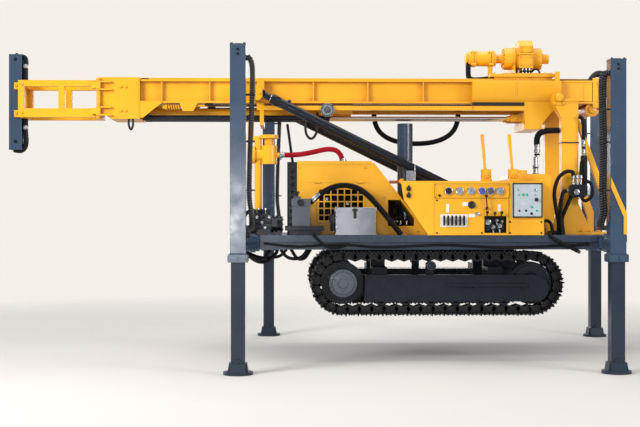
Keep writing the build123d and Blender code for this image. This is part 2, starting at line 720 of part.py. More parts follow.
# The near wheel runs outside the cradle's rail, on an arm that passes under it
sheave_in, sheave_out = guide_out + 7.0, guide_out + 35.0
with BuildPart() as feed:
    slab((wheel_x - 20, wheel_x + 20), (-sheave_in, -chain_y + 60), (wheel_z - 45, guide_low - 7))
    bar_x(feed_x, 0, feed_z, feed_r)
    for station in (feed_x[0], -3200.0, feed_x[1] - 60.0):
        slab((station, station + 60), (-70, 70), (feed_z - feed_r - 8, mast_bottom))
    for side in (-1, 1):
        slab((wheel_x + 30, wheel_x + 260), sides(side, chain_y - 60, chain_y - 40), (wheel_z - 30, mast_bottom))
        bar_y(wheel_x, sides(side, chain_y - 60, chain_y - 40), wheel_z, 45)
        slab((wheel_x, wheel_x + 60), sides(side, chain_y - 60, chain_y - 40), (wheel_z - 45, wheel_z + 45))
save(feed.part, "feed_cylinder")
with BuildPart() as chain_wheel:
    bar_y(wheel_x, (-sheave_out, -sheave_in), wheel_z, chain_wheel_r)
    bar_y(wheel_x, (chain_y - 40, chain_y - chain_half - 1), wheel_z, chain_wheel_r)
save(chain_wheel.part, "feed_wheels")
with BuildPart() as chain:
    for side in (-1, 1):
        slab(chain_x, sides(side, chain_y - chain_half, chain_y + chain_half), chain_z)
        for station in (chain_x[0], chain_x[1] - 80):
            slab((station, station + 80), sides(side, chain_y - chain_half, chain_y + chain_half), (chain_z[0], mast_bottom))
save(chain.part, "feed_chain")
with BuildPart() as barrels:
    for side in (-1, 1):
        bar_x((slide_barrel_left, slide_barrel_right), side * slide_spread, slide_z, slide_barrel_r)
        bar_x((slide_barrel_left + slide_head, slide_barrel_right), side * slide_spread, slide_z, slide_rod_r + running_gap, mode=Mode.SUBTRACT)
        slab((slide_barrel_left, slide_barrel_left + slide_head), sides(side, slide_spread - slide_barrel_r, slide_spread + slide_barrel_r), (slide_z - slide_barrel_r, mast_bottom))
save(barrels.part, "slide_barrels")

# Mast tip: a box round the beam's end, and a frame hinged to its near side
tip_box_length = 405.0
tip_box_drop = 150.0
tip_box_nick = 110.0
tip_half = half_mast
chord, low_chord, top_chord = 60.0, 88.0, 62.0
tip_low, tip_high = mast_bottom - 145.0, mast_top - 10.0
tip_gap = 12.0
tip_pin_r = 16.0
knuckle_r, knuckle_height = 26.0, 46.0
leaf, leaf_gap = 15.0, 1.0
box_out = half_mast + plate
tip_hinge_x = mast_front - 4.0
tip_hinge_y = -(box_out + knuckle_r + 5.0)
tip_beam_side = 130.0
tip_beam_low, tip_beam_high = 2074.0, 3027.0
tip_end = mast_front - tip_length
tip_mid = tip_end + tip_beam_side + 400.0
knuckle_levels = [tip_low + 12.0, tip_high - 2 * knuckle_height - 12.0]
box_right = mast_front + tip_box_length
box_low, box_high = mast_bottom - tip_box_drop, mast_top + guide_bar
with BuildPart() as tip_box:
    for side in (-1, 1):
        side_plate(
            [
                (mast_front, box_high),
                (mast_front, box_low + tip_box_nick / 2),
                (mast_front + tip_box_nick, box_low),
                (box_right + 30, box_low),
                (box_right + 220, mast_bottom),
                (box_right + 220, mast_bottom + flange),
                (box_right, mast_bottom + flange),
                (box_right, box_high),
            ],
            sides(side, half_mast, box_out),
        )
    slab((mast_front + tip_box_nick, box_right), (-box_out, box_out), (box_low - plate, box_low))
    for z in knuckle_levels:
        for low in (z, z + 2 * knuckle_height - leaf):
            slab((tip_hinge_x, tip_hinge_x + 5 * knuckle_r), (tip_hinge_y - knuckle_r / 2, -box_out), (low, low + leaf))
            bar_z(tip_hinge_x, tip_hinge_y, (low, low + leaf), knuckle_r)
        bar_z(tip_hinge_x, tip_hinge_y, (z - plate, z + 2 * knuckle_height + plate), tip_pin_r)
save(tip_box.part, "mast_tip_box")
window_right = mast_front - tip_gap
window_left = tip_end + tip_beam_side
with BuildPart() as tip_frame:
    for z, depth in ((tip_low, low_chord), (tip_high - top_chord, top_chord)):
        for side in (-1, 1):
            slab((window_left, window_right), sides(side, tip_half - chord, tip_half), (z, z + depth))
        for x in (window_left, window_right - chord):
            slab((x, x + chord), (-tip_half, tip_half), (z, z + depth))
    for x in (window_left, tip_mid):
        for side in (-1, 1):
            slab((x, x + chord), sides(side, tip_half - chord, tip_half), (tip_low, tip_high))
    slab((window_left, window_left + plate), (-tip_half, tip_half), (tip_low, tip_high))
    for side in (-1, 1):
        for z in (tip_low + 10, tip_high - 80):
            slab((tip_end + 60, window_left), sides(side, tip_beam_side / 2, tip_beam_side / 2 + 3 * plate), (z, z + 70))
    for z in knuckle_levels:
        low, high = z + leaf + leaf_gap, z + 2 * knuckle_height - leaf - leaf_gap
        slab((window_right - chord, window_right), (tip_hinge_y - knuckle_r, -tip_half + chord), (low, high))
        slab((window_right - chord, tip_hinge_x), (tip_hinge_y - knuckle_r, tip_hinge_y + knuckle_r), (low, high))
        bar_z(tip_hinge_x, tip_hinge_y, (low, high), knuckle_r)
        bar_z(tip_hinge_x, tip_hinge_y, (low - 5, high + 5), tip_pin_r + running_gap, mode=Mode.SUBTRACT)
save(tip_frame.part, "tip_frame")
with BuildPart() as tip_beam:
    half_beam = tip_beam_side / 2
    slab((tip_end, window_left), (-half_beam, half_beam), (tip_beam_low, tip_beam_high))
save(tip_beam.part, "tip_beam")

# Rotary head: carriage on the guide bars, gearbox with its drums and motor, and the spindle
head_seat = mast_top + guide_bar + seat_gap
carriage_plate = (head_seat + 18.0, head_seat + 48.0)
gear_low, gear_high = 2898.0, 3186.0
gear_half = 170.0
# Round stages along the spindle line: start, end, radius
head_stages = [
    (head_back, head_back + 28.0, 60.0),
    (head_back + 28.0, -559.0, 77.0),
    (-559.0, -476.0, 46.0),
    (-476.0, -342.0, 113.0),
    (-197.0, -93.0, 110.0),
]
with BuildPart() as carriage:
    slab((carriage_left, carriage_right), (-guide_spread - 20, guide_spread + 20), carriage_plate)
    for side in (-1, 1):
        slab((carriage_left + 40, carriage_right - 20), sides(side, guide_spread - guide_bar, guide_spread), (head_seat, carriage_plate[0]))
        slab((-335, -205), sides(side, 60, 130), (carriage_plate[1], gear_low))
    bar_z(-610, 0, (carriage_plate[1], spindle_z - 77 + 3), 24)
save(carriage.part, "head_carriage")
with BuildPart() as gearbox:
    slab((-342, -197), (-gear_half, gear_half), (gear_low, gear_high))
    chamfer(gearbox.edges().filter_by(Axis.X).group_by(Axis.Z)[-1], length=60)
    for start, end, radius in head_stages:
        bar_x((start, end), 0, spindle_z, radius)
    bar_z(-610, 0, (carriage_plate[1], spindle_z - 77 + 3), 24, mode=Mode.SUBTRACT)
save(gearbox.part, "head_gearbox")
with BuildPart() as spindle:
    bar_x((-93 + seat_gap, spindle_nose), 0, spindle_z, spindle_r)
    bar_x((spindle_nose - spindle_bore_depth, spindle_nose), 0, spindle_z, spindle_bore_r, mode=Mode.SUBTRACT)
save(spindle.part, "spindle")

# Lift cylinders, laid along the line from their base pins to the cradle's lugs
lift_run = math.hypot(lift_eye_x - lift_base_x, lift_eye_z - lift_base_z)
lift_pitch = math.degrees(math.atan2(lift_eye_z - lift_base_z, lift_eye_x - lift_base_x))
lift_bore_start = 300.0


def lift_bar(side, start, end, radius, mode=Mode.ADD):
    """A round bar along a lift cylinder, between two distances from its base pin."""
    middle = (start + end) / 2
    turn = math.radians(lift_pitch)
    place = (at(lift_base_x) + middle * math.cos(turn), side * lift_spread, lift_base_z + middle * math.sin(turn))
    with Locations(Location(place, (0, 90 - lift_pitch, 0))):
        Cylinder(radius, end - start, mode=mode)


with BuildPart() as lift_barrels:
    for side in (-1, 1):
        lift_bar(side, 0, lift_run - lift_barrel_end, lift_barrel_r)
        bar_y(lift_base_x, sides(side, lift_spread - lift_barrel_r, lift_spread + lift_barrel_r), lift_base_z, 60)
        bar_y(lift_base_x, sides(side, bracket_in, bracket_out), lift_base_z, pivot_pin_r + running_gap, mode=Mode.SUBTRACT)
        lift_bar(side, lift_bore_start, lift_run, lift_rod_r + running_gap, mode=Mode.SUBTRACT)
save(lift_barrels.part, "lift_barrels")
with BuildPart() as lift_rods:
    for side in (-1, 1):
        lift_bar(side, lift_bore_start + panel, lift_run, lift_rod_r)
        bar_y(lift_eye_x, sides(side, lug_end + lift_pin_gap, lift_spread + lift_eye_half), lift_eye_z, lift_eye_r)
save(lift_rods.part, "lift_rods")

# Free hose hanging between two fittings on the cradle's far rail
mast_hose_route = [
    (mast_hose_ends[0], guide_low),
    (mast_hose_ends[0], 2300.0),
    (-1560.0, 2150.0),
    (-1140.0, 2150.0),
    (mast_hose_ends[1], 2300.0),
    (mast_hose_ends[1], guide_low),
]
mast_hose_radii = [150.0, 250.0, 250.0, 150.0]
with BuildPart() as mast_hose:
    hose([(at(x), mast_hose_y, z) for x, z in mast_hose_route], mast_hose_radii, mast_hose_r)
save(mast_hose.part, "mast_hose")
cord_nodes = ["mast_hose"]
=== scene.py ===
"""Looks of the crawler water well drilling rig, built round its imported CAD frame.

Metres, in the CAD's own frame. Stations are measured along X from the mast pivot.
"""

import json
import math

import bmesh
import bpy
from mathutils import Matrix, Vector


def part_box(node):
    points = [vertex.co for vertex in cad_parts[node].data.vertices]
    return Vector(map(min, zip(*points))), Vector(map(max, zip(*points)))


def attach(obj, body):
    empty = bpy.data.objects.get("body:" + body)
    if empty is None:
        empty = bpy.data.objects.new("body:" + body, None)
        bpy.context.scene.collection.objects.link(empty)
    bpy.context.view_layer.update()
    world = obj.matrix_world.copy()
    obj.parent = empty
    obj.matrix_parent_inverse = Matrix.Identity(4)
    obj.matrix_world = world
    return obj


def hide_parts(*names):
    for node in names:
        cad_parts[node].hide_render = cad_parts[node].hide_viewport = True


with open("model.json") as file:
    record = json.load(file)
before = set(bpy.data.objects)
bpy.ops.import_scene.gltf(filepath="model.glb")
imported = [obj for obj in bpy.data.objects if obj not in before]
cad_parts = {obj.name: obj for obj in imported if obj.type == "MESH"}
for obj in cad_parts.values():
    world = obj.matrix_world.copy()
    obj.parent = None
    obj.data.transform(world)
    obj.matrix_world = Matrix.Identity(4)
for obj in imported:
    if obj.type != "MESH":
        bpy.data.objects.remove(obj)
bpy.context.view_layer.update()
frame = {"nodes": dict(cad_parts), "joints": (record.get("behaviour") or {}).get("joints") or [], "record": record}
nodes = frame["nodes"]
joints = {joint["name"]: joint for joint in frame["joints"]}
pivot = Vector(joints["mast_raise"]["pos_m"])
leg_names = ("front_near", "front_far", "rear_near", "rear_far")
NEAR, FAR, UP, DOWN = Vector((0, -1, 0)), Vector((0, 1, 0)), Vector((0, 0, 1)), Vector((0, 0, -1))
LEFT, RIGHT = Vector((-1, 0, 0)), Vector((1, 0, 0))
SIDES = ((-1, NEAR), (1, FAR))
deck_top = 1.213


def at(station, y, z):
    """A point from its station along the rig, its side and its height."""
    return Vector((pivot.x + station, y, z))


def level(y, route):
    """Points on one side of the rig, from their stations and heights."""
    return [at(station, y, z) for station, z in route]


def from_pivot(outline):
    """An outline of stations and heights, turned to X and height."""
    return [(pivot.x + station, z) for station, z in outline]


def middle(node):
    """The middle of a CAD node's box."""
    low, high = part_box(node)
    return (low + high) / 2


def add_object(name, data):
    """A new object, linked into the scene."""
    made = bpy.data.objects.new(name, data)
    bpy.context.scene.collection.objects.link(made)
    return made


# Camera at the photograph's viewing angle
photo_yaw = math.radians(1.5)
camera_at = at(-2.691, -12.626, 1.42)
lens_mm, sensor_mm = 69.3, 36.0
camera_data = bpy.data.cameras.new("camera")
camera_data.lens, camera_data.sensor_width = lens_mm, sensor_mm
camera = add_object("camera", camera_data)
camera.location = camera_at
camera.rotation_euler = (math.pi / 2, 0, -photo_yaw)
bpy.context.scene.camera = camera


class Finish:
    """A procedural material, built up from named nodes in the object's own coordinates."""

    def __init__(self, name):
        self.material = bpy.data.materials.new(name)
        self.material.use_nodes = True
        self.tree = self.material.node_tree
        self.surface = self.tree.nodes["Principled BSDF"]
        self.place = self.add("ShaderNodeTexCoord").outputs["Object"]

    def add(self, kind, settings=(), **inputs):
        made = self.tree.nodes.new(kind)
        for key, value in dict(settings).items():
            setattr(made, key, value)
        for key, value in inputs.items():
            self.feed(made.inputs[key.replace("_", " ")], value)
        return made

    def feed(self, socket, value):
        if isinstance(value, bpy.types.NodeSocket):
            self.tree.links.new(value, socket)
        else:
            socket.default_value = value

    def set(self, **inputs):
        for key, value in inputs.items():
            self.feed(self.surface.inputs[key.replace("_", " ")], value)

    def noise(self, scale, detail=4.0, stretch=None):
        place = self.place
        if stretch:
            place = self.add("ShaderNodeMapping", Vector=place, Scale=stretch).outputs[0]
        return self.add("ShaderNodeTexNoise", Vector=place, Scale=scale, Detail=detail).outputs["Fac"]

    def spread(self, value, low, high, to_low=0.0, to_high=1.0):
        """A value moved from one range to another, and held inside it."""
        made = self.add("ShaderNodeMapRange", Value=value)
        for key, number in (("From Min", low), ("From Max", high), ("To Min", to_low), ("To Max", to_high)):
            made.inputs[key].default_value = number
        return made.outputs["Result"]

    def times(self, first, second):
        made = self.add("ShaderNodeMath", {"operation": "MULTIPLY"})
        self.feed(made.inputs[0], first)
        self.feed(made.inputs[1], second)
        return made.outputs[0]

    def mix(self, share, first, second):
        made = self.add("ShaderNodeMix", {"data_type": "RGBA"})
        self.feed(made.inputs["Factor"], share)
        for socket, value in ((made.inputs[6], first), (made.inputs[7], second)):
            self.feed(socket, value)
        return made.outputs[2]

    def edges(self, radius):
        """Rounded normals, and a mask that is high along sharp edges."""
        rounded = self.add("ShaderNodeBevel", {"samples": 4}, Radius=radius).outputs["Normal"]
        flat = self.add("ShaderNodeNewGeometry").outputs["Normal"]
        made = self.add("ShaderNodeVectorMath", {"operation": "DOT_PRODUCT"})
        self.feed(made.inputs[0], rounded)
        self.feed(made.inputs[1], flat)
        return rounded, self.spread(made.outputs["Value"], 0.99, 0.78)

    # Ambient occlusion: a mask that is high in hollows, used to paint shade into the colour there.
    def crevice_shade(self, reach):
        shade = self.add("ShaderNodeAmbientOcclusion", {"samples": 4}, Distance=reach).outputs["AO"]
        return self.spread(shade, 0.75, 0.25)

    def bump(self, height, strength, depth, normal=None):
        made = self.add("ShaderNodeBump", Height=height, Strength=strength, Distance=depth)
        if normal:
            self.feed(made.inputs["Normal"], normal)
        self.set(Normal=made.outputs["Normal"])


def tint(colour, share):
    """A colour made darker or lighter."""
    return (*[min(1.0, channel * share) for channel in colour[:3]], 1.0)


def grey(shade):
    return (shade, shade, shade, 1)


def painted(
    name, colour, rough=0.36, bare=(0.42, 0.4, 0.38, 1), grime_and_shade=(0.05, 0.04, 0.03, 1), shade_and_dirt=0.55, gloss=0.5
):
    """Sprayed paint: cloudy colour, orange peel, hollows darkened partly as soil and partly as painted shade, and
    wear along edges.
    """
    finish = Finish(name)
    cloud = finish.spread(finish.noise(1.8, 6.0), 0.35, 0.68)
    base = finish.mix(cloud, tint(colour, 0.88), tint(colour, 1.06))
    # Painted shade: hollows darkened by ambient occlusion, broken up by noise so that it also reads as soil.
    shade_and_soot = finish.times(finish.crevice_shade(0.09), finish.spread(finish.noise(14.0, 6.0), 0.3, 0.7, 0.1, shade_and_dirt))
    base = finish.mix(shade_and_soot, base, grime_and_shade)
    rounded, edge = finish.edges(0.005)
    chips = finish.times(edge, finish.spread(finish.noise(38.0, 8.0), 0.55, 0.68, 0.0, 0.75))
    base = finish.mix(chips, base, bare)
    finish.set(Base_Color=base, Specular_IOR_Level=gloss, Coat_Weight=gloss * 0.4, Coat_Roughness=0.16)
    finish.set(Roughness=finish.spread(finish.noise(9.0, 5.0), 0.3, 0.75, rough - 0.07, rough + 0.12))
    finish.bump(finish.noise(260.0, 2.0), 0.05, 0.002, rounded)
    return finish.material


def metal(name, colour, rough, streak=(1, 1, 1), grain=40.0, dark=0.72):
    """Bare metal with a grain, and painted shade in its hollows."""
    finish = Finish(name)
    grain_noise = finish.noise(grain, 6.0, streak)
    base = finish.mix(finish.spread(grain_noise, 0.3, 0.7), tint(colour, dark), tint(colour, 1.05))
    # Painted shade: hollows darkened to near black by ambient occlusion.
    base = finish.mix(finish.times(finish.crevice_shade(0.05), 0.6), base, grey(0.03))
    rounded = finish.edges(0.003)[0]
    finish.set(Base_Color=base, Metallic=1.0)
    finish.set(Roughness=finish.spread(grain_noise, 0.25, 0.75, rough * 0.75, rough * 1.3))
    finish.bump(grain_noise, 0.06, 0.001, rounded)
    return finish.material


def rubber(name, colour, rough, gloss):
    """Hose cover: fine cloth marks under a dull skin."""
    finish = Finish(name)
    dust = finish.spread(finish.noise(6.0, 6.0), 0.4, 0.75)
    base = finish.mix(dust, colour, tint(colour, 1.5))
    finish.set(Base_Color=base, Specular_IOR_Level=gloss)
    finish.set(Roughness=finish.spread(finish.noise(30.0, 4.0), 0.3, 0.7, rough - 0.1, rough + 0.15))
    finish.bump(finish.noise(420.0, 3.0), 0.25, 0.001)
    return finish.material


def plastic(name, colour, rough=0.35):
    """Moulded plastic or enamel with a faint grain."""
    finish = Finish(name)
    base = finish.mix(finish.spread(finish.noise(25.0, 5.0), 0.3, 0.7), tint(colour, 0.9), tint(colour, 1.05))
    rounded = finish.edges(0.002)[0]
    finish.set(
        Base_Color=base, Roughness=finish.spread(finish.noise(60.0), 0.3, 0.7, rough - 0.05, rough + 0.1)
    )
    finish.bump(finish.noise(600.0, 2.0), 0.04, 0.001, rounded)
    return finish.material


yellow_paint = (0.88, 0.415, 0.011, 1)
finishes = {
    # The yellow's hollows darken to a deep orange-brown: painted shade in the hue of the paint in shadow, partly
    # soil.
    "yellow": painted(
        "machine yellow paint", yellow_paint, bare=(0.55, 0.3, 0.06, 1), grime_and_shade=(0.1, 0.035, 0.004, 1)
    ),
    "slate": painted(
        "slate blue paint", (0.03, 0.058, 0.106, 1), 0.2, bare=(0.22, 0.24, 0.26, 1),
        grime_and_shade=grey(0.012), gloss=0.7
    ),
    "hub_grey": painted("grey hub paint", (0.085, 0.098, 0.118, 1), 0.34, bare=grey(0.3), gloss=0.4),
    "ram_slate": painted(
        "dark slate paint", (0.018, 0.03, 0.05, 1), 0.34, bare=(0.13, 0.14, 0.15, 1),
        grime_and_shade=(0.01, 0.01, 0.011, 1), gloss=0.3
    ),
    # A darker copy of the slate paint for the chassis frame: painted shade on its face, while the deck keeps the
    # plain slate.
    "frame_slate": painted(
        "frame slate paint", (0.03, 0.047, 0.075, 1), 0.28, bare=(0.16, 0.17, 0.18, 1),
        grime_and_shade=(0.011, 0.011, 0.012, 1), gloss=0.5
    ),
    # Spiral wrap: its grey, lighter than the hose, partly stands in for the glints on the wire, a painted
    # highlight.
    "wrap": plastic("spiral wrap", (0.075, 0.075, 0.08, 1), 0.18),
    "black_paint": painted(
        "black paint", (0.01, 0.013, 0.019, 1), 0.24, bare=(0.07, 0.07, 0.08, 1),
        grime_and_shade=(0.005, 0.005, 0.006, 1), gloss=0.25
    ),
    "track_steel": painted(
        "track shoe steel", (0.011, 0.011, 0.013, 1), 0.42, bare=grey(0.13),
        grime_and_shade=grey(0.006), gloss=0.3
    ),
    "chrome": metal("hard chrome", (0.78, 0.79, 0.81, 1), 0.1, (2, 30, 30), 6.0, 0.9),
    "steel": metal("bright steel", (0.62, 0.64, 0.66, 1), 0.26, (1, 1, 8), 22.0),
    "panel_grey": plastic("panel grey", (0.5, 0.57, 0.59, 1)),
    "hose_black": rubber("black hose cover", (0.006, 0.006, 0.007, 1), 0.42, 0.15),
    "hose_red": rubber("red hose cover", (0.25, 0.006, 0.014, 1), 0.5, 0.08),
    "white": plastic("white enamel", (0.8, 0.78, 0.72, 1)),
    "black_plastic": plastic("black plastic", (0.012, 0.012, 0.013, 1)),
    "blue_dial": plastic("blue dial", (0.07, 0.09, 0.42, 1), 0.2),
    "pale_dial": plastic("pale dial", (0.27, 0.31, 0.34, 1), 0.2),
    "grey_dial": plastic("grey dial", (0.085, 0.095, 0.15, 1), 0.2),
    "green_light": plastic("green lens", (0.03, 0.42, 0.26, 1), 0.15),
    "red_light": plastic("red lens", (0.3, 0.015, 0.02, 1), 0.15),
    "brown_pipe": painted("brown pipe paint", (0.34, 0.075, 0.015, 1)),
    "dark_inside": painted(
        "dark machinery", (0.01, 0.01, 0.011, 1), 0.5, grime_and_shade=grey(0.005), gloss=0.3
    ),
    "galvanised": metal("galvanised sheet", (0.56, 0.58, 0.61, 1), 0.26, (1.5, 1.5, 1), 2.2, 0.55),
}

# CAD nodes take the finish of their record's slot, apart from these
node_finish = {
    "gauge_plate": "yellow", "lubricator": "hub_grey", "toolbox": "galvanised", "engine_block": "dark_inside",
    "spindle": "yellow"
}
node_finish.update({f"leg_ram_{name}": "ram_slate" for name in leg_names})
# The chassis frame takes the darker slate copy, a painted shade beside the deck's lit edge.
node_finish["chassis_frame"] = "frame_slate"
for row in frame["record"]["subparts"]:
    node = nodes[row["node"]]
    finish = finishes[node_finish.get(row["node"], row["material_slot"])]
    for slot in node.material_slots:
        slot.material = finish


def smooth_line(points, steps=8):
    """Points along a smooth line through the given ones."""
    points = [Vector(point) for point in points]
    padded = [2 * points[0] - points[1], *points, 2 * points[-1] - points[-2]]
    line = []
    for before, start, end, after in zip(padded, padded[1:], padded[2:], padded[3:]):
        for step in range(steps):
            t = step / steps
            curve = 2 * start + (end - before) * t
            curve += (2 * before - 5 * start + 4 * end - after) * t**2
            curve += (3 * start - before - 3 * end + after) * t**3
            line.append(0.5 * curve)
    return [*line, points[-1]]


def frames_along(line):
    """For each point of a line: the point, and two directions across it that don't twist."""
    tangents = [(b - a).normalized() for a, b in zip([line[0], *line[:-1]], [*line[1:], line[-1]])]
    across = tangents[0].orthogonal().normalized()
    found = []
    for point, tangent in zip(line, tangents):
        across = (across - tangent * across.dot(tangent)).normalized()
        found.append((point, across, tangent.cross(across)))
    return found


def facing(axis):
    """The turn that lays Z along an axis."""
    return Vector(axis).to_track_quat("Z", "Y").to_matrix()


def circle(count, start=0.0):
    """Cosines and sines of angles evenly round a circle."""
    angles = [start + 2 * math.pi * k / count for k in range(count)]
    return [(math.cos(a), math.sin(a)) for a in angles]


sharp_angle, bevel_angle = math.radians(38), math.radians(40)
hoop_wire_sides, spiral_wire_sides, spiral_steps = 8, 5, 40


class Piece:
    """One piece of the scene: solids gathered in a mesh, with one finish, riding on one body."""

    begun = []

    def __init__(self, name, body, slot, finish=None, soft_edge=0.0, replaces=None):
        self.name, self.body, self.slot = name, body, slot
        self.finish = finishes[finish or slot]
        self.soft_edge, self.replaces = soft_edge, replaces
        self.mesh = bmesh.new()
        Piece.begun.append(self)

    def box(self, low, high, turn=None):
        low, high = Vector(low), Vector(high)
        place = Matrix.Translation((low + high) / 2)
        if turn:
            place = place @ turn
        bmesh.ops.create_cube(self.mesh, size=1, matrix=place @ Matrix.Diagonal((*(high - low), 1)))

    def span(self, left, right, near, far, low, high):
        """A box between two stations, sides and heights."""
        self.box(at(left, near, low), at(right, far, high))

    def slab(self, side, left, right, inner, outer, low, high):
        """A box on one side of the rig, between two distances from its middle."""
        self.span(left, right, *sorted((side * inner, side * outer)), low, high)

    def border(self, left, right, low, high, width, near, far, lapped=True):
        """Four strips round a rectangle of X and height, between two sides."""
        inset = 0 if lapped else width
        for strip_left, strip_right, strip_low, strip_high in (
            (left, right, high - width, high),
            (left, right, low, low + width),
            (left, left + width, low + inset, high - inset),
            (right - width, right, low + inset, high - inset),
        ):
            self.box((strip_left, near, strip_low), (strip_right, far, strip_high))

    def skin(self, loops, closed=False):
        """Faces between loops of points, capped at both ends or closed to a ring."""
        rings = [[self.mesh.verts.new(point) for point in loop] for loop in loops]
        for lower, upper in zip(rings, rings[1:] + rings[: int(closed)]):
            for k in range(len(lower)):
                self.mesh.faces.new((lower[k - 1], lower[k], upper[k], upper[k - 1]))
        if not closed:
            self.mesh.faces.new(reversed(rings[0]))
            self.mesh.faces.new(rings[-1])

    def lathe(self, start, axis, sides, *profile):
        """A turned solid from the points of its profile: distance along the axis, and radius."""
        start, turn, ring = Vector(start), facing(axis), circle(sides)
        self.skin([[start + turn @ Vector((r * c, r * s, along)) for c, s in ring] for along, r in profile])

    def rod(self, start, end, radius, sides=16):
        run = Vector(end) - Vector(start)
        ease = min(radius * 0.15, run.length * 0.2)
        ends = [(0, radius - ease), (ease, radius), (run.length - ease, radius), (run.length, radius - ease)]
        self.lathe(start, run, sides, *ends)

    def hoop(self, centre, axis, radius, wire, sides=28):
        """A round ring."""
        centre, turn, section = Vector(centre), facing(axis), circle(hoop_wire_sides)
        loops = []
        for c, s in circle(sides):
            out = Vector((c, s, 0))
            loops.append([centre + turn @ (out * (radius + wire * x) + UP * (wire * z)) for x, z in section])
        self.skin(loops, closed=True)

    def bolt(self, point, axis, size):
        """A hexagon head on a washer; size is the head's width."""
        self.lathe(point, axis, 12, (0, size * 0.72), (size * 0.1, size * 0.72), (size * 0.14, size * 0.64))
        self.lathe(
            point, axis, 6, (size * 0.1, size * 0.55), (size * 0.5, size * 0.55), (size * 0.6, size * 0.44)
        )

    def bolts_round(self, centre, axis, radius, count, size, start=0.0):
        centre, turn = Vector(centre), facing(axis)
        for c, s in circle(count, start):
            self.bolt(centre + turn @ Vector((radius * c, radius * s, 0)), axis, size)

    def sleeve(self, line, radius, sides):
        """A round skin along a line of points."""
        ring = circle(sides)
        self.skin([[point + (u * c + v * s) * radius for c, s in ring] for point, u, v in frames_along(line)])

    def tube(self, points, radius, sides=12, steps=8):
        self.sleeve(smooth_line(points, steps), radius, sides)

    def spiral(self, points, radius, wire, pitch, steps=10):
        """A wire wound round a smooth line."""
        line = smooth_line(points, spiral_steps)
        turned, helix, last = 0.0, [], line[0]
        for point, u, v in frames_along(line):
            run = (point - last).length
            pieces = max(1, math.ceil(run / pitch * steps))
            for k in range(1, pieces + 1):
                angle = 2 * math.pi * (turned + run * k / pieces) / pitch
                centre = last.lerp(point, k / pieces)
                helix.append(centre + (u * math.cos(angle) + v * math.sin(angle)) * radius)
            turned, last = turned + run, point
        self.sleeve(helix, wire, spiral_wire_sides)

    def plate(self, outline, near, far):
        """An upright plate from its outline of X and height, between two sides."""
        self.skin([[(x, y, z) for x, z in outline] for y in (near, far)])

    def bar(self, outline, left, right):
        """A bar along X from its outline of sides and heights."""
        self.skin([[(x, y, z) for y, z in outline] for x in (left, right)])

    def done(self):
        """The piece as an object of the scene."""
        bmesh.ops.recalc_face_normals(self.mesh, faces=self.mesh.faces)
        data = bpy.data.meshes.new(self.name)
        self.mesh.to_mesh(data)
        self.mesh.free()
        data.shade_smooth()
        data.set_sharp_from_angle(angle=sharp_angle)
        data.materials.append(self.finish)
        made = add_object(self.name, data)
        if self.soft_edge:
            bevel = made.modifiers.new("soft edges", "BEVEL")
            bevel.width, bevel.segments, bevel.limit_method = self.soft_edge, 2, "ANGLE"
            bevel.angle_limit = bevel_angle
        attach(made, self.body)
        if self.replaces:
            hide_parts(self.replaces)


# Free hose that hangs under the cradle's far rail, with the route of its CAD tube
hose_radius = 0.026
hose_side = 0.224
hose_route = [(-1.79, 2.455), (-1.79, 2.3), (-1.56, 2.15), (-1.14, 2.15), (-0.91, 2.3), (-0.91, 2.455)]
curve = bpy.data.curves.new("mast_hose_free", "CURVE")
curve.dimensions = "3D"
curve.bevel_depth = hose_radius
curve.bevel_resolution = 5
curve.resolution_u = 12
spline = curve.splines.new("NURBS")
spline.points.add(len(hose_route) - 1)
for control, (station, height) in zip(spline.points, hose_route):
    control.co = (*at(station, hose_side, height), 1.0)
spline.order_u = 3
spline.use_endpoint_u = True
mast_hose = add_object("mast_hose_free", curve)
curve.materials.append(finishes["hose_black"])
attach(mast_hose, "cradle")
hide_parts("mast_hose")


# Tracks: shoes on a roller chain round the loop
shoe_count = 46
lug_height = 0.025
track_low, track_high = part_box("track_near")
axle_z = (track_low.z + track_high.z) / 2
outer_r = (track_high.z - track_low.z) / 2 - lug_height
wheel_low, wheel_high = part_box("track_wheels")
wheel_r = (wheel_high.z - wheel_low.z) / 2
sprocket_x, idler_x = wheel_low.x + wheel_r, wheel_high.x - wheel_r
straight = idler_x - sprocket_x
belt_length = 2 * straight + 2 * math.pi * outer_r
pitch = belt_length / shoe_count


def on_loop(distance):
    """Where a shoe sits on the loop: its point at the belt's face, and the turn that lays it there."""
    distance %= belt_length
    arc = math.pi * outer_r
    if distance < straight:
        return Vector((sprocket_x + distance, 0, axle_z + outer_r)), 0.0
    if distance < straight + arc:
        turn = (distance - straight) / outer_r
        return Vector((idler_x + outer_r * math.sin(turn), 0, axle_z + outer_r * math.cos(turn))), turn
    if distance < 2 * straight + arc:
        return Vector((idler_x - (distance - straight - arc), 0, axle_z - outer_r)), math.pi
    turn = math.pi + (distance - 2 * straight - arc) / outer_r
    return Vector((sprocket_x + outer_r * math.sin(turn), 0, axle_z + outer_r * math.cos(turn))), turn


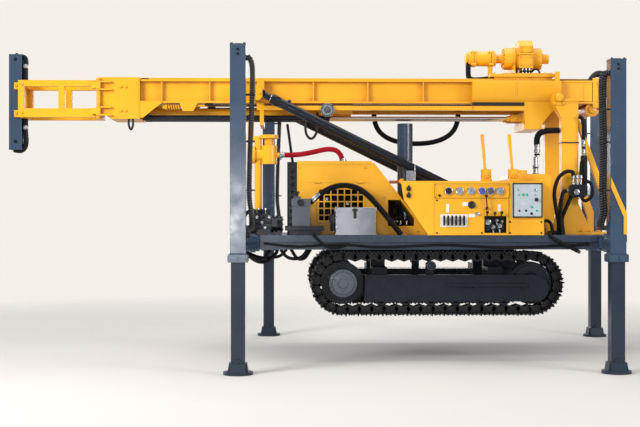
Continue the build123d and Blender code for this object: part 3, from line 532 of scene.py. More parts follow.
shoe_thick, shoe_rise, shoe_gap = 0.004, 0.01, 0.003
bar_thick = 0.012
chain_half, link_thick = 0.065, 0.016
link_low, link_high = 0.081, 0.002
pin_r = 0.019
for side_name in ("near", "far"):
    low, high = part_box(f"track_{side_name}")
    mid_y, half = (low.y + high.y) / 2, (high.y - low.y) / 2
    shoes = Piece(f"track_shoes_{side_name}", "base", "track_steel", replaces=f"track_{side_name}")
    chain = Piece(f"track_chain_{side_name}", "base", "track_steel")
    for index in range(shoe_count):
        point, turn = on_loop((index + 0.5) * pitch)
        lay = Matrix.Translation(point + Vector((0, mid_y, 0))) @ Matrix.Rotation(turn, 4, "Y")
        first = len(shoes.mesh.verts)
        shoes.box((-pitch / 2 + shoe_gap, -half, -shoe_thick), (pitch / 2 - shoe_gap, half, shoe_rise))
        for bar, rise in ((-0.38, lug_height), (-0.02, lug_height - 0.004), (0.34, lug_height - 0.004)):
            shoes.box((bar * pitch - bar_thick / 2, -half, -0.004), (bar * pitch + bar_thick / 2, half, rise))
        for y in (-half + 0.05, -0.04, 0.04, half - 0.05):
            shoes.bolt((0.16 * pitch, y, shoe_rise), UP, 0.016)
        shoes.mesh.verts.ensure_lookup_table()
        bmesh.ops.transform(shoes.mesh, matrix=lay, verts=shoes.mesh.verts[first:])
        first = len(chain.mesh.verts)
        for y in (-chain_half, chain_half):
            outline = [(-0.62, 0.35), (-0.5, 1), (0.0, 0.72), (0.5, 1), (0.62, 0.35), (0.5, 0), (-0.5, 0)]
            chain.plate(
                [(u * pitch, -link_high - (link_low - link_high) * v) for u, v in outline],
                y - link_thick / 2, y + link_thick / 2
            )
        for u in (-0.5, 0.5):
            pin_z = -(link_low + link_high) / 2
            chain.rod(
                (u * pitch, -chain_half - 0.016, pin_z), (u * pitch, chain_half + 0.016, pin_z), pin_r, 12
            )
        chain.mesh.verts.ensure_lookup_table()
        bmesh.ops.transform(chain.mesh, matrix=lay, verts=chain.mesh.verts[first:])

# Drive hubs, sprocket teeth, idler rims, bottom rollers and the track frames' trim
hub_out = 0.88
tooth_count = 23
roller_stations = [-1.8, -1.56, -1.32, -1.08, -0.84, -0.62]
roller_r = 0.055
frame_left, frame_low, frame_high = -1.94, 0.577, 0.828
for side_name, (side, out) in zip(("near", "far"), SIDES):
    face = side * hub_out
    mid_y = middle(f"track_{side_name}").y
    trim = Piece(f"track_trim_{side_name}", "base", "black_paint", soft_edge=0.003)
    hub = Vector((sprocket_x, face, axle_z))
    trim.lathe(
        hub, out, 40, (0, 0.132), (0.01, 0.13), (0.012, 0.104), (0.028, 0.1), (0.032, 0.05), (0.042, 0.044)
    )
    for k in range(tooth_count):
        turn = Matrix.Rotation(2 * math.pi * k / tooth_count, 4, "Y")
        tip = Vector((sprocket_x, mid_y, axle_z)) + turn @ Vector((0, 0, wheel_r - 0.024))
        trim.box(tip - Vector((0.013, 0.022, 0.024)), tip + Vector((0.013, 0.022, 0.02)), turn)
    idler = Vector((idler_x, mid_y + side * 0.055, axle_z))
    trim.hoop(idler, out, wheel_r - 0.022, 0.014, 48)
    trim.hoop(idler, out, 0.1, 0.01, 36)
    for station in roller_stations:
        centre = Vector((pivot.x + station, mid_y, axle_z - 0.204 + roller_r + 0.002))
        trim.rod(centre - out * 0.09, centre + out * 0.09, roller_r, 20)
        trim.rod(centre + out * 0.06, centre + out * 0.09, roller_r + 0.014, 20)
    trim.slab(side, -1.17, -0.4, hub_out, hub_out + 0.022, 0.722, 0.746)
    trim.slab(side, frame_left, -0.32, hub_out, hub_out + 0.008, frame_high - 0.012, frame_high + 0.004)
    trim.slab(side, frame_left - 0.015, frame_left, hub_out - 0.1, hub_out, frame_low + 0.02, frame_high)
    carrier = Vector((pivot.x - 1.312, mid_y + side * 0.055, 0.917))
    trim.lathe(carrier, out, 28, (0, 0.046), (0.012, 0.046), (0.016, 0.034), (0.03, 0.03), (0.034, 0.012))
    for station in (-1.86, -1.53, -1.21, -0.87, -0.62):
        trim.bolt(Vector((pivot.x + station, face, frame_low + 0.028)), out, 0.028)
    for station in (-0.92, -0.45):
        trim.bolt(Vector((pivot.x + station, face, 0.7)), out, 0.022)
    hub_face = Piece(f"track_hub_{side_name}", "base", "black_paint", "hub_grey")
    hub_face.lathe(
        hub, out, 40, (0.002, 0.134), (0.011, 0.132), (0.013, 0.106), (0.029, 0.101), (0.033, 0.05),
        (0.043, 0.043)
    )
    hub_face.bolts_round(hub + out * 0.011, out, 0.119, 20, 0.013)
    hub_face.bolts_round(hub + out * 0.029, out, 0.078, 3, 0.02, 0.6)
    hub_face.hoop(carrier + out * 0.014, out, 0.038, 0.004, 28)


# Jack legs: spiral-wrapped hoses, clamps, cap and collar trim, and foot tabs
housing_half, collar_half = 0.07, 0.086
strand_r, wrap_r, wrap_pitch = 0.02, 0.0045, 0.022
strand_half, rear_half = 0.022, 0.016
hose_sides = {"front_near": 1, "front_far": 1, "rear_near": -1, "rear_far": -1}
for name in leg_names:
    arm_body, foot_body = f"leg_arm_{name}", f"leg_foot_{name}"
    leg = middle(f"leg_ram_{name}")
    bottom, top = (corner.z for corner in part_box(f"leg_housing_{name}"))
    toward = hose_sides[name]
    inward = -1 if leg.y > 0 else 1
    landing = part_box(f"leg_hose_{name}")
    arm_top = landing[0].z
    land_y = landing[0].y + 0.03 if inward < 0 else landing[1].y - 0.03
    hinge = Vector(joints[f"leg_swing_{name}"]["pos_m"])
    share = (leg.y - land_y) / (leg.y - hinge.y)
    land_x = leg.x + share * (hinge.x - leg.x)
    beside = leg.x + toward * (housing_half + 0.044)
    strands = Piece(f"leg_hose_strands_{name}", arm_body, "hose_black", replaces=f"leg_hose_{name}")
    # The coils' grey finish is partly a painted highlight on the wire.
    coils = Piece(f"leg_hose_wrap_{name}", arm_body, "hose_black", "wrap")
    front_leg = name.startswith("front")
    for strand in (-1, 1):
        # The front legs' strands lie one behind the other, the rear legs' side by side
        run_x = beside if front_leg else beside + strand * rear_half
        run_y = leg.y + strand * strand_half if front_leg else leg.y
        lean = -0.016 if front_leg else 0.008
        route = [
            (leg.x + toward * housing_half, leg.y + strand * 0.028, top - 0.12),
            (run_x - toward * 0.01, run_y + strand * 0.004, top - 0.125),
            (run_x + toward * 0.012, run_y, top - 0.22),
            (run_x + toward * 0.008, run_y, top - 0.5),
            (run_x + toward * lean * 0.5, run_y, 2.0),
            (run_x + toward * lean, run_y, 1.6),
            (run_x, run_y + inward * 0.01, arm_top + 0.24),
            (run_x, run_y + inward * 0.12, arm_top + 0.11),
            (land_x + strand * strand_half, land_y, arm_top + 0.09),
            (land_x + strand * strand_half, land_y + inward * 0.015, arm_top + 0.005),
        ]
        radius = strand_r if front_leg else strand_r - 0.003
        strands.tube(route, radius, 10, 6)
        coils.spiral(route, radius + 0.002, wrap_r, wrap_pitch)
    clips = Piece(f"leg_ties_{name}", arm_body, "black_paint", "black_plastic", soft_edge=0.002)
    tie_x, tie_y = (0.032, 0.05) if front_leg else (rear_half + strand_r + 0.014, 0.03)
    for height in (top - 0.45, 2.05, 1.62):
        outer = beside + toward * tie_x
        low_x, high_x = sorted((leg.x + toward * housing_half, outer))
        for y in (-tie_y, tie_y - 0.004):
            clips.box((low_x, leg.y + y, height), (high_x, leg.y + y + 0.004, height + 0.012))
        clips.box((outer - 0.003, leg.y - tie_y, height), (outer + 0.003, leg.y + tie_y, height + 0.012))
    trim = Piece(f"leg_trim_{name}", arm_body, "slate", soft_edge=0.003)
    for x_side, y_side in ((0, -1), (0, 1), (-1, 0), (1, 0)):
        across = Vector((y_side, x_side, 0))
        out = Vector((x_side, y_side, 0))
        for shift in (-0.04, 0.04):
            pad = Vector((leg.x, leg.y, bottom + 0.035)) + out * collar_half + across * shift
            reach = Vector((abs(across.x), abs(across.y), 0)) * 0.032 + Vector((0, 0, 0.024))
            trim.box(pad - reach - out * 0.004, pad + reach + out * 0.006)
        seam = Vector((leg.x, leg.y, bottom + 0.074)) + out * housing_half
        trim.rod(seam - across * housing_half, seam + across * housing_half, 0.006, 8)
    trim.box((leg.x - 0.03, leg.y - 0.03, top - 0.002), (leg.x + 0.03, leg.y + 0.03, top + 0.008))
    bolts = Piece(f"leg_bolts_{name}", arm_body, "slate", "black_paint")
    for dx in (-0.055, 0.055):
        for dy in (-0.055, 0.055):
            bolts.bolt((leg.x + dx, leg.y + dy, top), UP, 0.018)
    for height in (top - 0.05, top - 0.09):
        bolts.bolt((leg.x, leg.y - inward * housing_half, height), (0, -inward, 0), 0.018)
    foot = Piece(f"foot_tabs_{name}", foot_body, "slate", "ram_slate", soft_edge=0.002)
    tab = [
        (-0.034, 0.095), (0.034, 0.095), (0.034, 0.112), (0.024, 0.13), (0.0, 0.138), (-0.024, 0.13),
        (-0.034, 0.112)
    ]
    for side in (-1, 1):
        low_y, high_y = sorted((leg.y + side * 0.06, leg.y + side * 0.078))
        foot.plate([(leg.x + x, z) for x, z in tab], low_y, high_y)
        foot.bolt((leg.x, leg.y + side * 0.078, 0.114), (0, side, 0), 0.022)

# Strap on the near face of the rear leg
strap_leg = middle("leg_ram_rear_near")
strap_face = strap_leg.y - housing_half
strap = Piece("leg_strap", "leg_arm_rear_near", "yellow", soft_edge=0.004)
strap_top, strap_knee, strap_foot = 1.68, 1.42, 1.235
right_edge = strap_leg.x + housing_half
strap.plate(
    [
        (right_edge - 0.138, strap_top - 0.03), (right_edge - 0.138, strap_top + 0.06),
        (right_edge + 0.004, strap_knee), (right_edge + 0.004, strap_foot), (right_edge - 0.026, strap_foot),
        (right_edge - 0.026, strap_knee - 0.03)
    ],
    strap_face - 0.014, strap_face
)


# Hood: grille border, seams, hinges and the machinery behind the openings
hood_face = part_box("hood_side_near")[0].y
rim = Piece("hood_trim", "base", "yellow", soft_edge=0.002)
grille_left, grille_right, grille_low, grille_high = pivot.x - 2.407, pivot.x - 1.935, 1.331, 1.675
rim.border(
    grille_left, grille_right, grille_low, grille_high, 0.022, hood_face - 0.008, hood_face, lapped=False
)
rim.span(-2.6, -1.872, hood_face - 0.004, hood_face, 1.9, 1.912)
rim.span(-2.49, -1.88, hood_face - 0.003, hood_face, 1.72, 1.728)
for station in (-2.4, -1.98):
    rim.rod(
        at(station - 0.03, hood_face - 0.006, 1.724), at(station + 0.03, hood_face - 0.006, 1.724), 0.01, 12
    )
hood_bolts = Piece("hood_bolts", "base", "yellow")
for station, height in (
    (-2.575, 1.87), (-2.575, 1.55), (-2.575, 1.26), (-1.92, 1.26), (-1.42, 1.25), (-1.93, 1.87), (-1.75, 1.58)
):
    hood_bolts.bolt(at(station, hood_face, height), NEAR, 0.016)
far_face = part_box("hood_side_far")[1].y
louvres = Piece("hood_louvres", "base", "yellow", soft_edge=0.0015)
door_left, door_right, door_low, door_high = pivot.x - 2.5, pivot.x - 1.93, 1.26, 1.82
for k in range(8):
    height = 1.44 + 0.042 * k
    slat = [(0, 0), (0.016, 0), (0.013, 0.008), (0, 0.03)]
    louvres.bar([(far_face + y, height + z) for y, z in slat], pivot.x - 2.42, pivot.x - 2.01)
louvres.border(door_left, door_right, door_low, door_high, 0.012, far_face, far_face + 0.005)
for station in (-2.38, -2.05):
    louvres.rod(
        at(station - 0.03, far_face + 0.006, door_high), at(station + 0.03, far_face + 0.006, door_high),
        0.01, 12
    )
latch = Piece("hood_latch", "base", "black_paint", "black_plastic", soft_edge=0.002)
latch.span(-2.27, -2.16, far_face, far_face + 0.006, 1.315, 1.365)
latch.tube(
    [
        at(-2.26, far_face + 0.004, 1.34), at(-2.25, far_face + 0.026, 1.34),
        at(-2.18, far_face + 0.026, 1.34), at(-2.17, far_face + 0.004, 1.34)
    ],
    0.007
)
for station in (-1.78, -1.52):
    for height in (1.28, 1.58):
        latch.bolt(at(station, far_face, height), FAR, 0.014)
inside = Piece("engine_dressing", "base", "black_paint", "dark_inside", soft_edge=0.004)
block_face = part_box("engine_block")[0].y
for station, height, radius in (
    (-2.33, 1.5, 0.085), (-2.12, 1.62, 0.06), (-2.05, 1.44, 0.1), (-1.86, 1.56, 0.05)
):
    inside.lathe(
        at(station, block_face, height), NEAR, 24, (0, radius), (0.05, radius), (0.055, radius * 0.8),
        (0.09, radius * 0.75)
    )
inside.span(-2.42, -1.82, block_face - 0.12, block_face, 1.28, 1.36)
for height in (1.4, 1.47, 1.54, 1.61):
    inside.rod(at(-1.98, block_face - 0.1, height), at(-1.8, block_face - 0.1, height), 0.022, 12)
inside.tube(
    [at(-2.36, -0.4, 1.28), at(-2.3, -0.46, 1.42), at(-2.2, -0.44, 1.6), at(-2.05, -0.36, 1.66)], 0.03
)
inside.tube(
    [at(-1.7, -0.45, 1.3), at(-1.62, -0.48, 1.38), at(-1.56, -0.46, 1.34), at(-1.5, -0.5, 1.31)], 0.024
)
engine_bright = Piece("engine_fittings", "base", "steel")
for station, height, radius in (
    (-2.31, 1.56, 0.03), (-2.22, 1.47, 0.022), (-2.1, 1.52, 0.026), (-2.02, 1.6, 0.02), (-1.6, 1.36, 0.04)
):
    engine_bright.lathe(
        at(station, -0.4, height), NEAR, 18, (0, radius), (0.03, radius), (0.036, radius * 0.7),
        (0.06, radius * 0.6)
    )
for station in (-1.64, -1.58, -1.52):
    engine_bright.rod(at(station, -0.52, 1.31), at(station, -0.52, 1.35), 0.012, 10)


# Console: gauges, switches, slots, valves and the electric panel
console_low, console_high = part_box("console")
front = console_low.y
strip_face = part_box("gauge_plate")[0].y
gauge_z = 1.634
gauges = [
    (-1.16, "black_plastic"),
    (-1.054, "pale_dial"),
    (-0.946, "pale_dial"),
    (-0.842, "blue_dial"),
    (-0.758, "grey_dial"),
    (-0.668, "pale_dial"),
]
for number, (station, dial_finish) in enumerate(gauges, 1):
    dial = Piece(f"gauge_dial_{number}", "base", "steel", dial_finish)
    dial.lathe(at(station, strip_face, gauge_z), NEAR, 36, (0, 0.032), (0.0015, 0.032), (0.0022, 0.03))
bezels = Piece("gauge_bezels", "base", "steel")
needles = Piece("gauge_needles", "base", "black_paint", "black_plastic")
for number, (station, dial_finish) in enumerate(gauges):
    centre = at(station, strip_face, gauge_z)
    bezels.hoop(centre, NEAR, 0.034, 0.0045, 36)
    lean = math.radians(-50 + 37 * number)
    point = Vector((math.sin(lean), 0, math.cos(lean)))
    needles.rod(centre + NEAR * 0.003 - point * 0.006, centre + NEAR * 0.003 + point * 0.021, 0.0012, 6)
    needles.lathe(centre, NEAR, 12, (0, 0.004), (0.005, 0.004), (0.006, 0.002))
    for tick in range(9):
        a = math.radians(-120 + 30 * tick)
        out = Vector((math.sin(a), 0, math.cos(a)))
        needles.rod(centre + NEAR * 0.0022 + out * 0.023, centre + NEAR * 0.0022 + out * 0.028, 0.0007, 4)

seams = Piece("console_seams", "base", "yellow", soft_edge=0.0015)
strip_low, strip_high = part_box("gauge_plate")
strip = (strip_low.x, strip_high.x, strip_low.z, strip_high.z)
seams.border(*strip, 0.009, front - 0.011, front - 0.006)
for station in (-0.82, -0.586):
    seams.span(station, station + 0.004, front - 0.002, front, console_low.z + 0.01, 1.555)
seams.span(-1.3, -1.292, front - 0.003, front, console_low.z, console_high.z)

lines = Piece("console_lines", "base", "yellow", "black_plastic")
line = 0.003
outer = (strip_low.x - line, strip_high.x + line, strip_low.z - line, strip_high.z + line)
lines.border(*outer, line, front - 0.0015, front, lapped=False)
lines.span(-0.582, -0.582 + line, front - 0.0015, front, console_low.z + 0.012, 1.552)

plates = Piece("console_plates", "base", "yellow", "white", soft_edge=0.001)
slot_first, slot_pitch, slot_count = -1.201, 0.038, 6
slot_half, slot_low, slot_high = 0.009, 1.3045, 1.3995
edge_left, edge_right = slot_first - 0.036, slot_first + slot_pitch * (slot_count - 1) + 0.036
plates.span(edge_left, edge_right, front - 0.002, front, slot_high, slot_high + 0.012)
plates.span(edge_left, edge_right, front - 0.002, front, slot_low - 0.012, slot_low)
slots = [slot_first + slot_pitch * k for k in range(slot_count)]
cuts = [edge_left, *[slot + end * slot_half for slot in slots for end in (-1, 1)], edge_right]
for left, right in zip(cuts[::2], cuts[1::2]):
    plates.span(left, right, front - 0.002, front, slot_low, slot_high)
for left, right, low, high in (
    (-1.026, -0.972, 1.492, 1.528),
    (-0.966, -0.906, 1.384, 1.416),
    (-1.182, -1.154, 1.43, 1.51),
    (-0.688, -0.66, 1.438, 1.508),
):
    plates.span(left, right, front - 0.002, front, low, high)

controls = Piece("console_knobs", "base", "black_paint", "black_plastic")
for station, height, radius, reach in (
    (-0.937, 1.502, 0.036, 0.03), (-1.245, 1.592, 0.014, 0.02), (-0.321, 1.552, 0.019, 0.025)
):
    body_front = front - 0.024 if station > -0.5 else front
    controls.lathe(
        at(station, body_front, height), NEAR, 24, (0, radius), (0.006, radius), (0.008, radius * 0.8),
        (reach, radius * 0.7), (reach + 0.004, radius * 0.5)
    )
for station, height in ((-0.796, 1.432), (-0.722, 1.424), (-0.658, 1.429), (-0.805, 1.586)):
    ball = at(station, front - 0.05, height)
    controls.lathe(
        ball - UP * 0.015, UP, 18, (0, 0.006), (0.005, 0.013), (0.015, 0.017), (0.025, 0.013), (0.03, 0.005)
    )
controls.rod(at(-0.805, front - 0.05, 1.575), at(-0.796, front - 0.045, 1.475), 0.006, 10)
controls.rod(at(-0.796, front - 0.045, 1.48), at(-0.796, front, 1.462), 0.011, 12)
for station, height in ((-0.796, 1.418), (-0.722, 1.41), (-0.658, 1.415)):
    controls.rod(at(station, front - 0.05, height), at(station, front - 0.004, height - 0.04), 0.006, 10)
for height in (1.655, 1.59):
    controls.lathe(
        at(-1.54, front, height), NEAR, 20, (0, 0.022), (0.01, 0.022), (0.016, 0.014), (0.02, 0.012)
    )
    controls.span(-1.549, -1.531, front - 0.024, front - 0.016, height - 0.02, height + 0.034)

valves = Piece("console_valves", "base", "steel")
for station, height, radius in (
    (-0.778, 1.335, 0.034), (-0.725, 1.292, 0.024), (-0.663, 1.3, 0.026), (-0.69, 1.355, 0.018),
    (-0.64, 1.345, 0.016)
):
    valves.lathe(
        at(station, front + 0.07, height), NEAR, 20, (0, radius), (0.03, radius), (0.034, radius * 0.72),
        (0.06, radius * 0.7), (0.064, radius * 0.4), (0.075, radius * 0.35)
    )
    valves.rod(
        at(station, front + 0.045, height - radius), at(station, front + 0.045, height - radius - 0.04),
        radius * 0.45, 12
    )
valves.lathe(
    at(-0.88, front, 1.415), NEAR, 20, (0, 0.02), (0.008, 0.02), (0.01, 0.013), (0.022, 0.012), (0.024, 0.006)
)

bosses = Piece("lever_bosses", "base", "yellow", soft_edge=0.002)
lever_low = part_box("hand_levers")[0]
for station in (-0.765, -0.501):
    for face, out in ((-0.742, NEAR), (-0.658, FAR)):
        bosses.lathe(
            at(station, face, lever_low.z + 0.075), out, 28, (0, 0.042), (0.008, 0.042), (0.011, 0.022),
            (0.018, 0.02)
        )

panel_low, panel_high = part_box("electric_box")
panel_face = panel_low.y
panel_frame = Piece("panel_frame", "base", "black_paint", "black_plastic", soft_edge=0.002)
panel_frame.border(
    panel_low.x, panel_high.x, panel_low.z, panel_high.z, 0.012, panel_face - 0.006, panel_face
)
buttons = {
    "green_light": [(0.102, 0.112, 0.01), (0.137, 0.112, 0.01), (0.183, 0.23, 0.009), (0.232, 0.263, 0.008)],
    "red_light": [(0.065, 0.264, 0.009)],
    "black_plastic": [(0.129, 0.264, 0.009), (0.183, 0.292, 0.01)],
    "steel": [(0.22, 0.068, 0.012), (0.062, 0.114, 0.006), (0.216, 0.114, 0.006), (0.055, 0.066, 0.006)],
}
for button_finish, places in buttons.items():
    lamps = Piece(f"panel_{button_finish}", "base", "panel_grey", button_finish)
    for across, below, radius in places:
        centre = Vector((panel_low.x + across, panel_face, panel_high.z - below))
        lamps.lathe(
            centre, NEAR, 18, (0, radius * 1.25), (0.003, radius * 1.25), (0.004, radius),
            (0.008, radius * 0.9), (0.01, radius * 0.5)
        )
console_bolts = Piece("console_bolts", "base", "yellow", "black_paint")
for station, height in (
    (-1.27, 1.235), (-0.84, 1.235), (-0.57, 1.235), (-0.27, 1.235), (-1.27, 1.545), (-0.57, 1.34),
    (-0.27, 1.34)
):
    console_bolts.bolt(at(station, front, height), NEAR, 0.013)


# Mast: chain links, tensioners, sheave faces, wear pads, hooks, foot hoses and covers, and bolts
slot_of = {row["node"]: row["material_slot"] for row in frame["record"]["subparts"]}
mast_under = 2.53
links_low, links_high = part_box("feed_chain")
links_z, links_y = links_low.z + 0.011, links_high.y - 0.011
link_pitch = 0.036
links = Piece("feed_chain_links", "mast", slot_of["feed_chain"], "track_steel", replaces="feed_chain")
for y in (-links_y, links_y):
    for k in range(int((links_high.x - links_low.x) / link_pitch)):
        x = links_low.x + (k + 0.5) * link_pitch
        spread = 0.0095 if k % 2 else 0.0065
        outline = [(-0.62, 0.0), (-0.52, 0.9), (-0.25, 0.62), (0.25, 0.62), (0.52, 0.9), (0.62, 0.0)]
        outline += [(u, -v) for u, v in outline[-2:0:-1]]
        for shift in (-spread, spread):
            link = [(x + u * link_pitch, links_z + v * 0.0115) for u, v in outline]
            links.plate(link, y + shift - 0.0013, y + shift + 0.0013)
        links.rod(
            (x - link_pitch / 2, y - 0.011, links_z), (x - link_pitch / 2, y + 0.011, links_z), 0.0065, 8
        )
    for end in (links_low.x, links_high.x - 0.08):
        links.box((end, y - 0.01, links_z - 0.01), (end + 0.08, y + 0.01, mast_under))
tension = Piece("chain_tensioners", "mast", "yellow")
for y in (-links_y, links_y):
    tension.spiral([at(-3.915, y, 2.49), at(-3.77, y, 2.49)], 0.024, 0.0065, 0.024, 14)
    tension.rod(at(-3.95, y, 2.49), at(-3.5, y, 2.506), 0.01, 12)
    tension.lathe(at(-3.945, y, 2.49), RIGHT, 18, (0, 0.02), (0.022, 0.02), (0.026, 0.03), (0.032, 0.03))
    tension.plate(
        from_pivot([(-3.775, mast_under), (-3.595, mast_under), (-3.64, 2.448), (-3.745, 2.448)]), y - 0.034,
        y + 0.034
    )
sheave = Piece("sheave_faces", "mast", "steel", "hub_grey")
for side, out in SIDES:
    wheel_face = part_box("feed_wheels")[0 if side < 0 else 1].y
    centre = at(-2.295, wheel_face, 2.455)
    sheave.hoop(centre, out, 0.058, 0.007, 36)
    sheave.lathe(centre, out, 24, (0, 0.036), (0.006, 0.036), (0.009, 0.022), (0.018, 0.02), (0.02, 0.008))
pads = Piece("mast_wear_pads", "mast", "black_paint", "black_plastic", soft_edge=0.002)
for side, out in SIDES:
    for left, right in ((-4.16, -4.085), (0.06, 0.38)):
        pads.slab(side, left, right, 0.205, 0.238, 2.764, 2.776)
tip_hook = [(-4.285, 2.372), (-4.287, 2.31), (-4.266, 2.264), (-4.245, 2.31), (-4.247, 2.372)]
pads.tube(level(-0.2, tip_hook), 0.011)
sling = [
    (-2.514, 2.44), (-2.514, 2.3), (-2.5, 2.215), (-2.455, 2.175), (-2.41, 2.215), (-2.394, 2.3),
    (-2.394, 2.44)
]
pads.tube(level(-0.19, sling), 0.013)
foot_hose = [
    (0.35, 2.7), (0.385, 2.79), (0.44, 2.842), (0.5, 2.838), (0.536, 2.775), (0.536, 2.66), (0.505, 2.56)
]
pads.tube(level(-0.2, foot_hose), 0.024)
foot_hose = [
    (0.35, 2.7), (0.385, 2.78), (0.44, 2.825), (0.495, 2.82), (0.528, 2.765), (0.528, 2.66), (0.5, 2.56)
]
pads.tube(level(-0.14, foot_hose), 0.02)
cover = [(0.066, 2.552), (0.388, 2.552), (0.388, 2.746), (0.066, 2.746)]
covers = Piece("mast_foot_covers", "mast", "yellow", soft_edge=0.003)
for side, out in SIDES:
    covers.plate(from_pivot(cover), *sorted((side * 0.226, side * 0.238)))
    covers.rod(at(0.3, side * 0.239, 2.556), at(0.3, side * 0.239, 2.742), 0.004, 8)
mast_bolts = Piece("mast_bolts", "mast", "yellow")
box_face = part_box("mast_tip_box")[1].y
for side, out in SIDES:
    for station in (-4.362, -4.313):
        for height in (2.69, 2.45):
            mast_bolts.bolt(at(station, side * box_face, height), out, 0.026)
    mast_bolts.rod(
        at(-4.176, side * (box_face + 0.001), 2.386), at(-4.176, side * (box_face + 0.001), 2.78), 0.006, 8
    )
    for height in (2.56, 2.74):
        mast_bolts.bolt(at(0.45, side * 0.24, height), out, 0.028)
    mast_bolts.lathe(
        at(0.395, side * 0.198, 2.472), out, 28, (0, 0.07), (0.01, 0.07), (0.012, 0.04), (0.026, 0.036),
        (0.03, 0.014)
    )
hinge_at = Vector(joints["tip_fold"]["pos_m"])
mast_bolts.bolt((hinge_at.x, hinge_at.y, 2.755), UP, 0.034)
mast_bolts.bolt((hinge_at.x, hinge_at.y, 2.385), DOWN, 0.034)
mast_bolts.rod((hinge_at.x, hinge_at.y, 2.502), (hinge_at.x, hinge_at.y, 2.64), 0.021, 20)

# Folding tip: end caps and hoses on its beam, and bolts
tip_low, tip_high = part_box("tip_beam")
caps = Piece("tip_caps", "tip", "slate", soft_edge=0.002)
for height in (tip_low.z, tip_high.z):
    caps.box(
        (tip_low.x, tip_low.y - 0.006, height - 0.008),
        (tip_high.x + 0.006, tip_high.y + 0.006, height + 0.008)
    )
tip_hose = Piece("tip_hoses", "tip", "hose_black")
hose_x = tip_high.x + 0.024
for y in (-0.026, 0.026):
    tip_hose.tube(
        [
            (tip_high.x - 0.03, y, tip_high.z - 0.02), (tip_high.x + 0.01, y, tip_high.z - 0.012),
            (hose_x + 0.004, y, tip_high.z - 0.06), (hose_x, y, tip_high.z - 0.16), (hose_x, y, 2.752)
        ],
        0.021
    )
    tip_hose.tube(
        [
            (hose_x, y, 2.388), (hose_x, y, 2.26), (hose_x + 0.006, y, 2.15), (hose_x - 0.012, y, 2.085),
            (tip_high.x - 0.03, y, 2.056), (tip_high.x - 0.09, y, 2.062)
        ],
        0.021
    )
sleeves = Piece("tip_sleeves", "tip", "steel")
for y in (-0.026, 0.026):
    for height in (2.275, tip_high.z - 0.13):
        sleeves.lathe((hose_x, y, height), UP, 18, (0, 0.023), (0.004, 0.025), (0.036, 0.025), (0.04, 0.023))
tip_bolts = Piece("tip_bolts", "tip", "slate", "black_paint")
for height in (2.985, 2.15):
    tip_bolts.bolt(((tip_low.x + tip_high.x) / 2, tip_low.y, height), NEAR, 0.026)
    tip_bolts.bolt(((tip_low.x + tip_high.x) / 2, tip_high.y, height), FAR, 0.026)
tip_bolts.bolt(((tip_low.x + tip_high.x) / 2, 0, tip_high.z + 0.008), UP, 0.03)
frame_bolts = Piece("tip_frame_bolts", "tip", "yellow")
for height in (2.43, 2.71):
    for side, out in SIDES:
        for station in (-5.432, -5.4):
            frame_bolts.bolt(at(station, side * 0.101, height), out, 0.02)
        frame_bolts.bolt(at(-5.345, side * 0.24, height), out, 0.022)

# Rotary head: flange rings, bolt circles, the gearbox's seam and base fittings
axis_z = joints["spindle_turn"]["pos_m"][2]
rings = Piece("head_rings", "head", "yellow", soft_edge=0.002)
# Rings along the spindle line: station, width, radius
for station, width, radius in (
    (-0.806, 0.018, 0.088),
    (-0.782, 0.018, 0.086),
    (-0.628, 0.018, 0.086),
    (-0.604, 0.02, 0.088),
    (-0.5, 0.026, 0.07),
    (-0.382, 0.022, 0.12),
    (-0.197, 0.02, 0.122),
    (-0.1, 0.014, 0.084),
):
    profile = [(0, radius - 0.004), (0.004, radius), (width - 0.004, radius), (width, radius - 0.004)]
    rings.lathe(at(station, 0, axis_z), RIGHT, 44, *profile)
ears = [
    at(
        station, 0.086 * c, axis_z + 0.086 * s
    ) for station in (-0.806, -0.628) for c, s in circle(4, math.radians(45))
]
for ear in ears:
    rings.rod(ear, ear + RIGHT * 0.044, 0.016, 14)
rings.span(-0.352, -0.187, -0.18, 0.18, 3.034, 3.048)
for side in (-1, 1):
    rings.slab(side, -0.33, -0.209, 0.17, 0.176, 2.92, 3.026)
    rings.slab(side, -0.33, -0.209, 0.17, 0.176, 3.056, 3.118)
rings.span(-0.515, -0.03, -0.185, 0.185, 2.832, 2.845)
rings.span(-0.395, -0.385, -0.2, 0.2, 2.832, 2.925)
head_bolts = Piece("head_bolts", "head", "yellow")
head_bolts.bolts_round(at(-0.476, 0, axis_z), LEFT, 0.094, 14, 0.016)
head_bolts.bolts_round(at(-0.093, 0, axis_z), RIGHT, 0.097, 14, 0.015)
for side, out in SIDES:
    for station in (-0.318, -0.221):
        for height in (2.934, 3.012, 3.07, 3.106):
            head_bolts.bolt(at(station, side * 0.176, height), out, 0.016)
    for station in (-0.6, -0.48, -0.42, -0.16, -0.08, -0.02):
        head_bolts.bolt(at(station, side * 0.195, 2.833), UP, 0.024)
for ear in ears:
    head_bolts.bolt(ear, LEFT, 0.018)
head_hoses = Piece("head_hoses", "head", "hose_black")
for y in (-0.03, 0.03):
    head_hoses.tube(
        [
            at(-0.835, y, 2.985), at(-0.836, y, 2.9), at(-0.832, y, 2.83), at(-0.805, y, 2.8),
            at(-0.74, y, 2.797), at(-0.636, y, 2.806)
        ],
        0.022
    )
head_hoses.tube(
    [at(-0.205, -0.13, 2.862), at(-0.175, -0.13, 2.888), at(-0.14, -0.13, 2.88), at(-0.118, -0.13, 2.842)],
    0.009
)
head_hoses.span(-0.325, -0.215, -0.16, -0.135, 2.845, 2.872)
head_bright = Piece("head_fittings", "head", "steel")
for station in (-0.305, -0.27, -0.235):
    head_bright.lathe(
        at(station, -0.148, 2.845), UP, 12, (0, 0.014), (0.012, 0.014), (0.014, 0.01), (0.03, 0.01),
        (0.032, 0.013), (0.052, 0.013)
    )
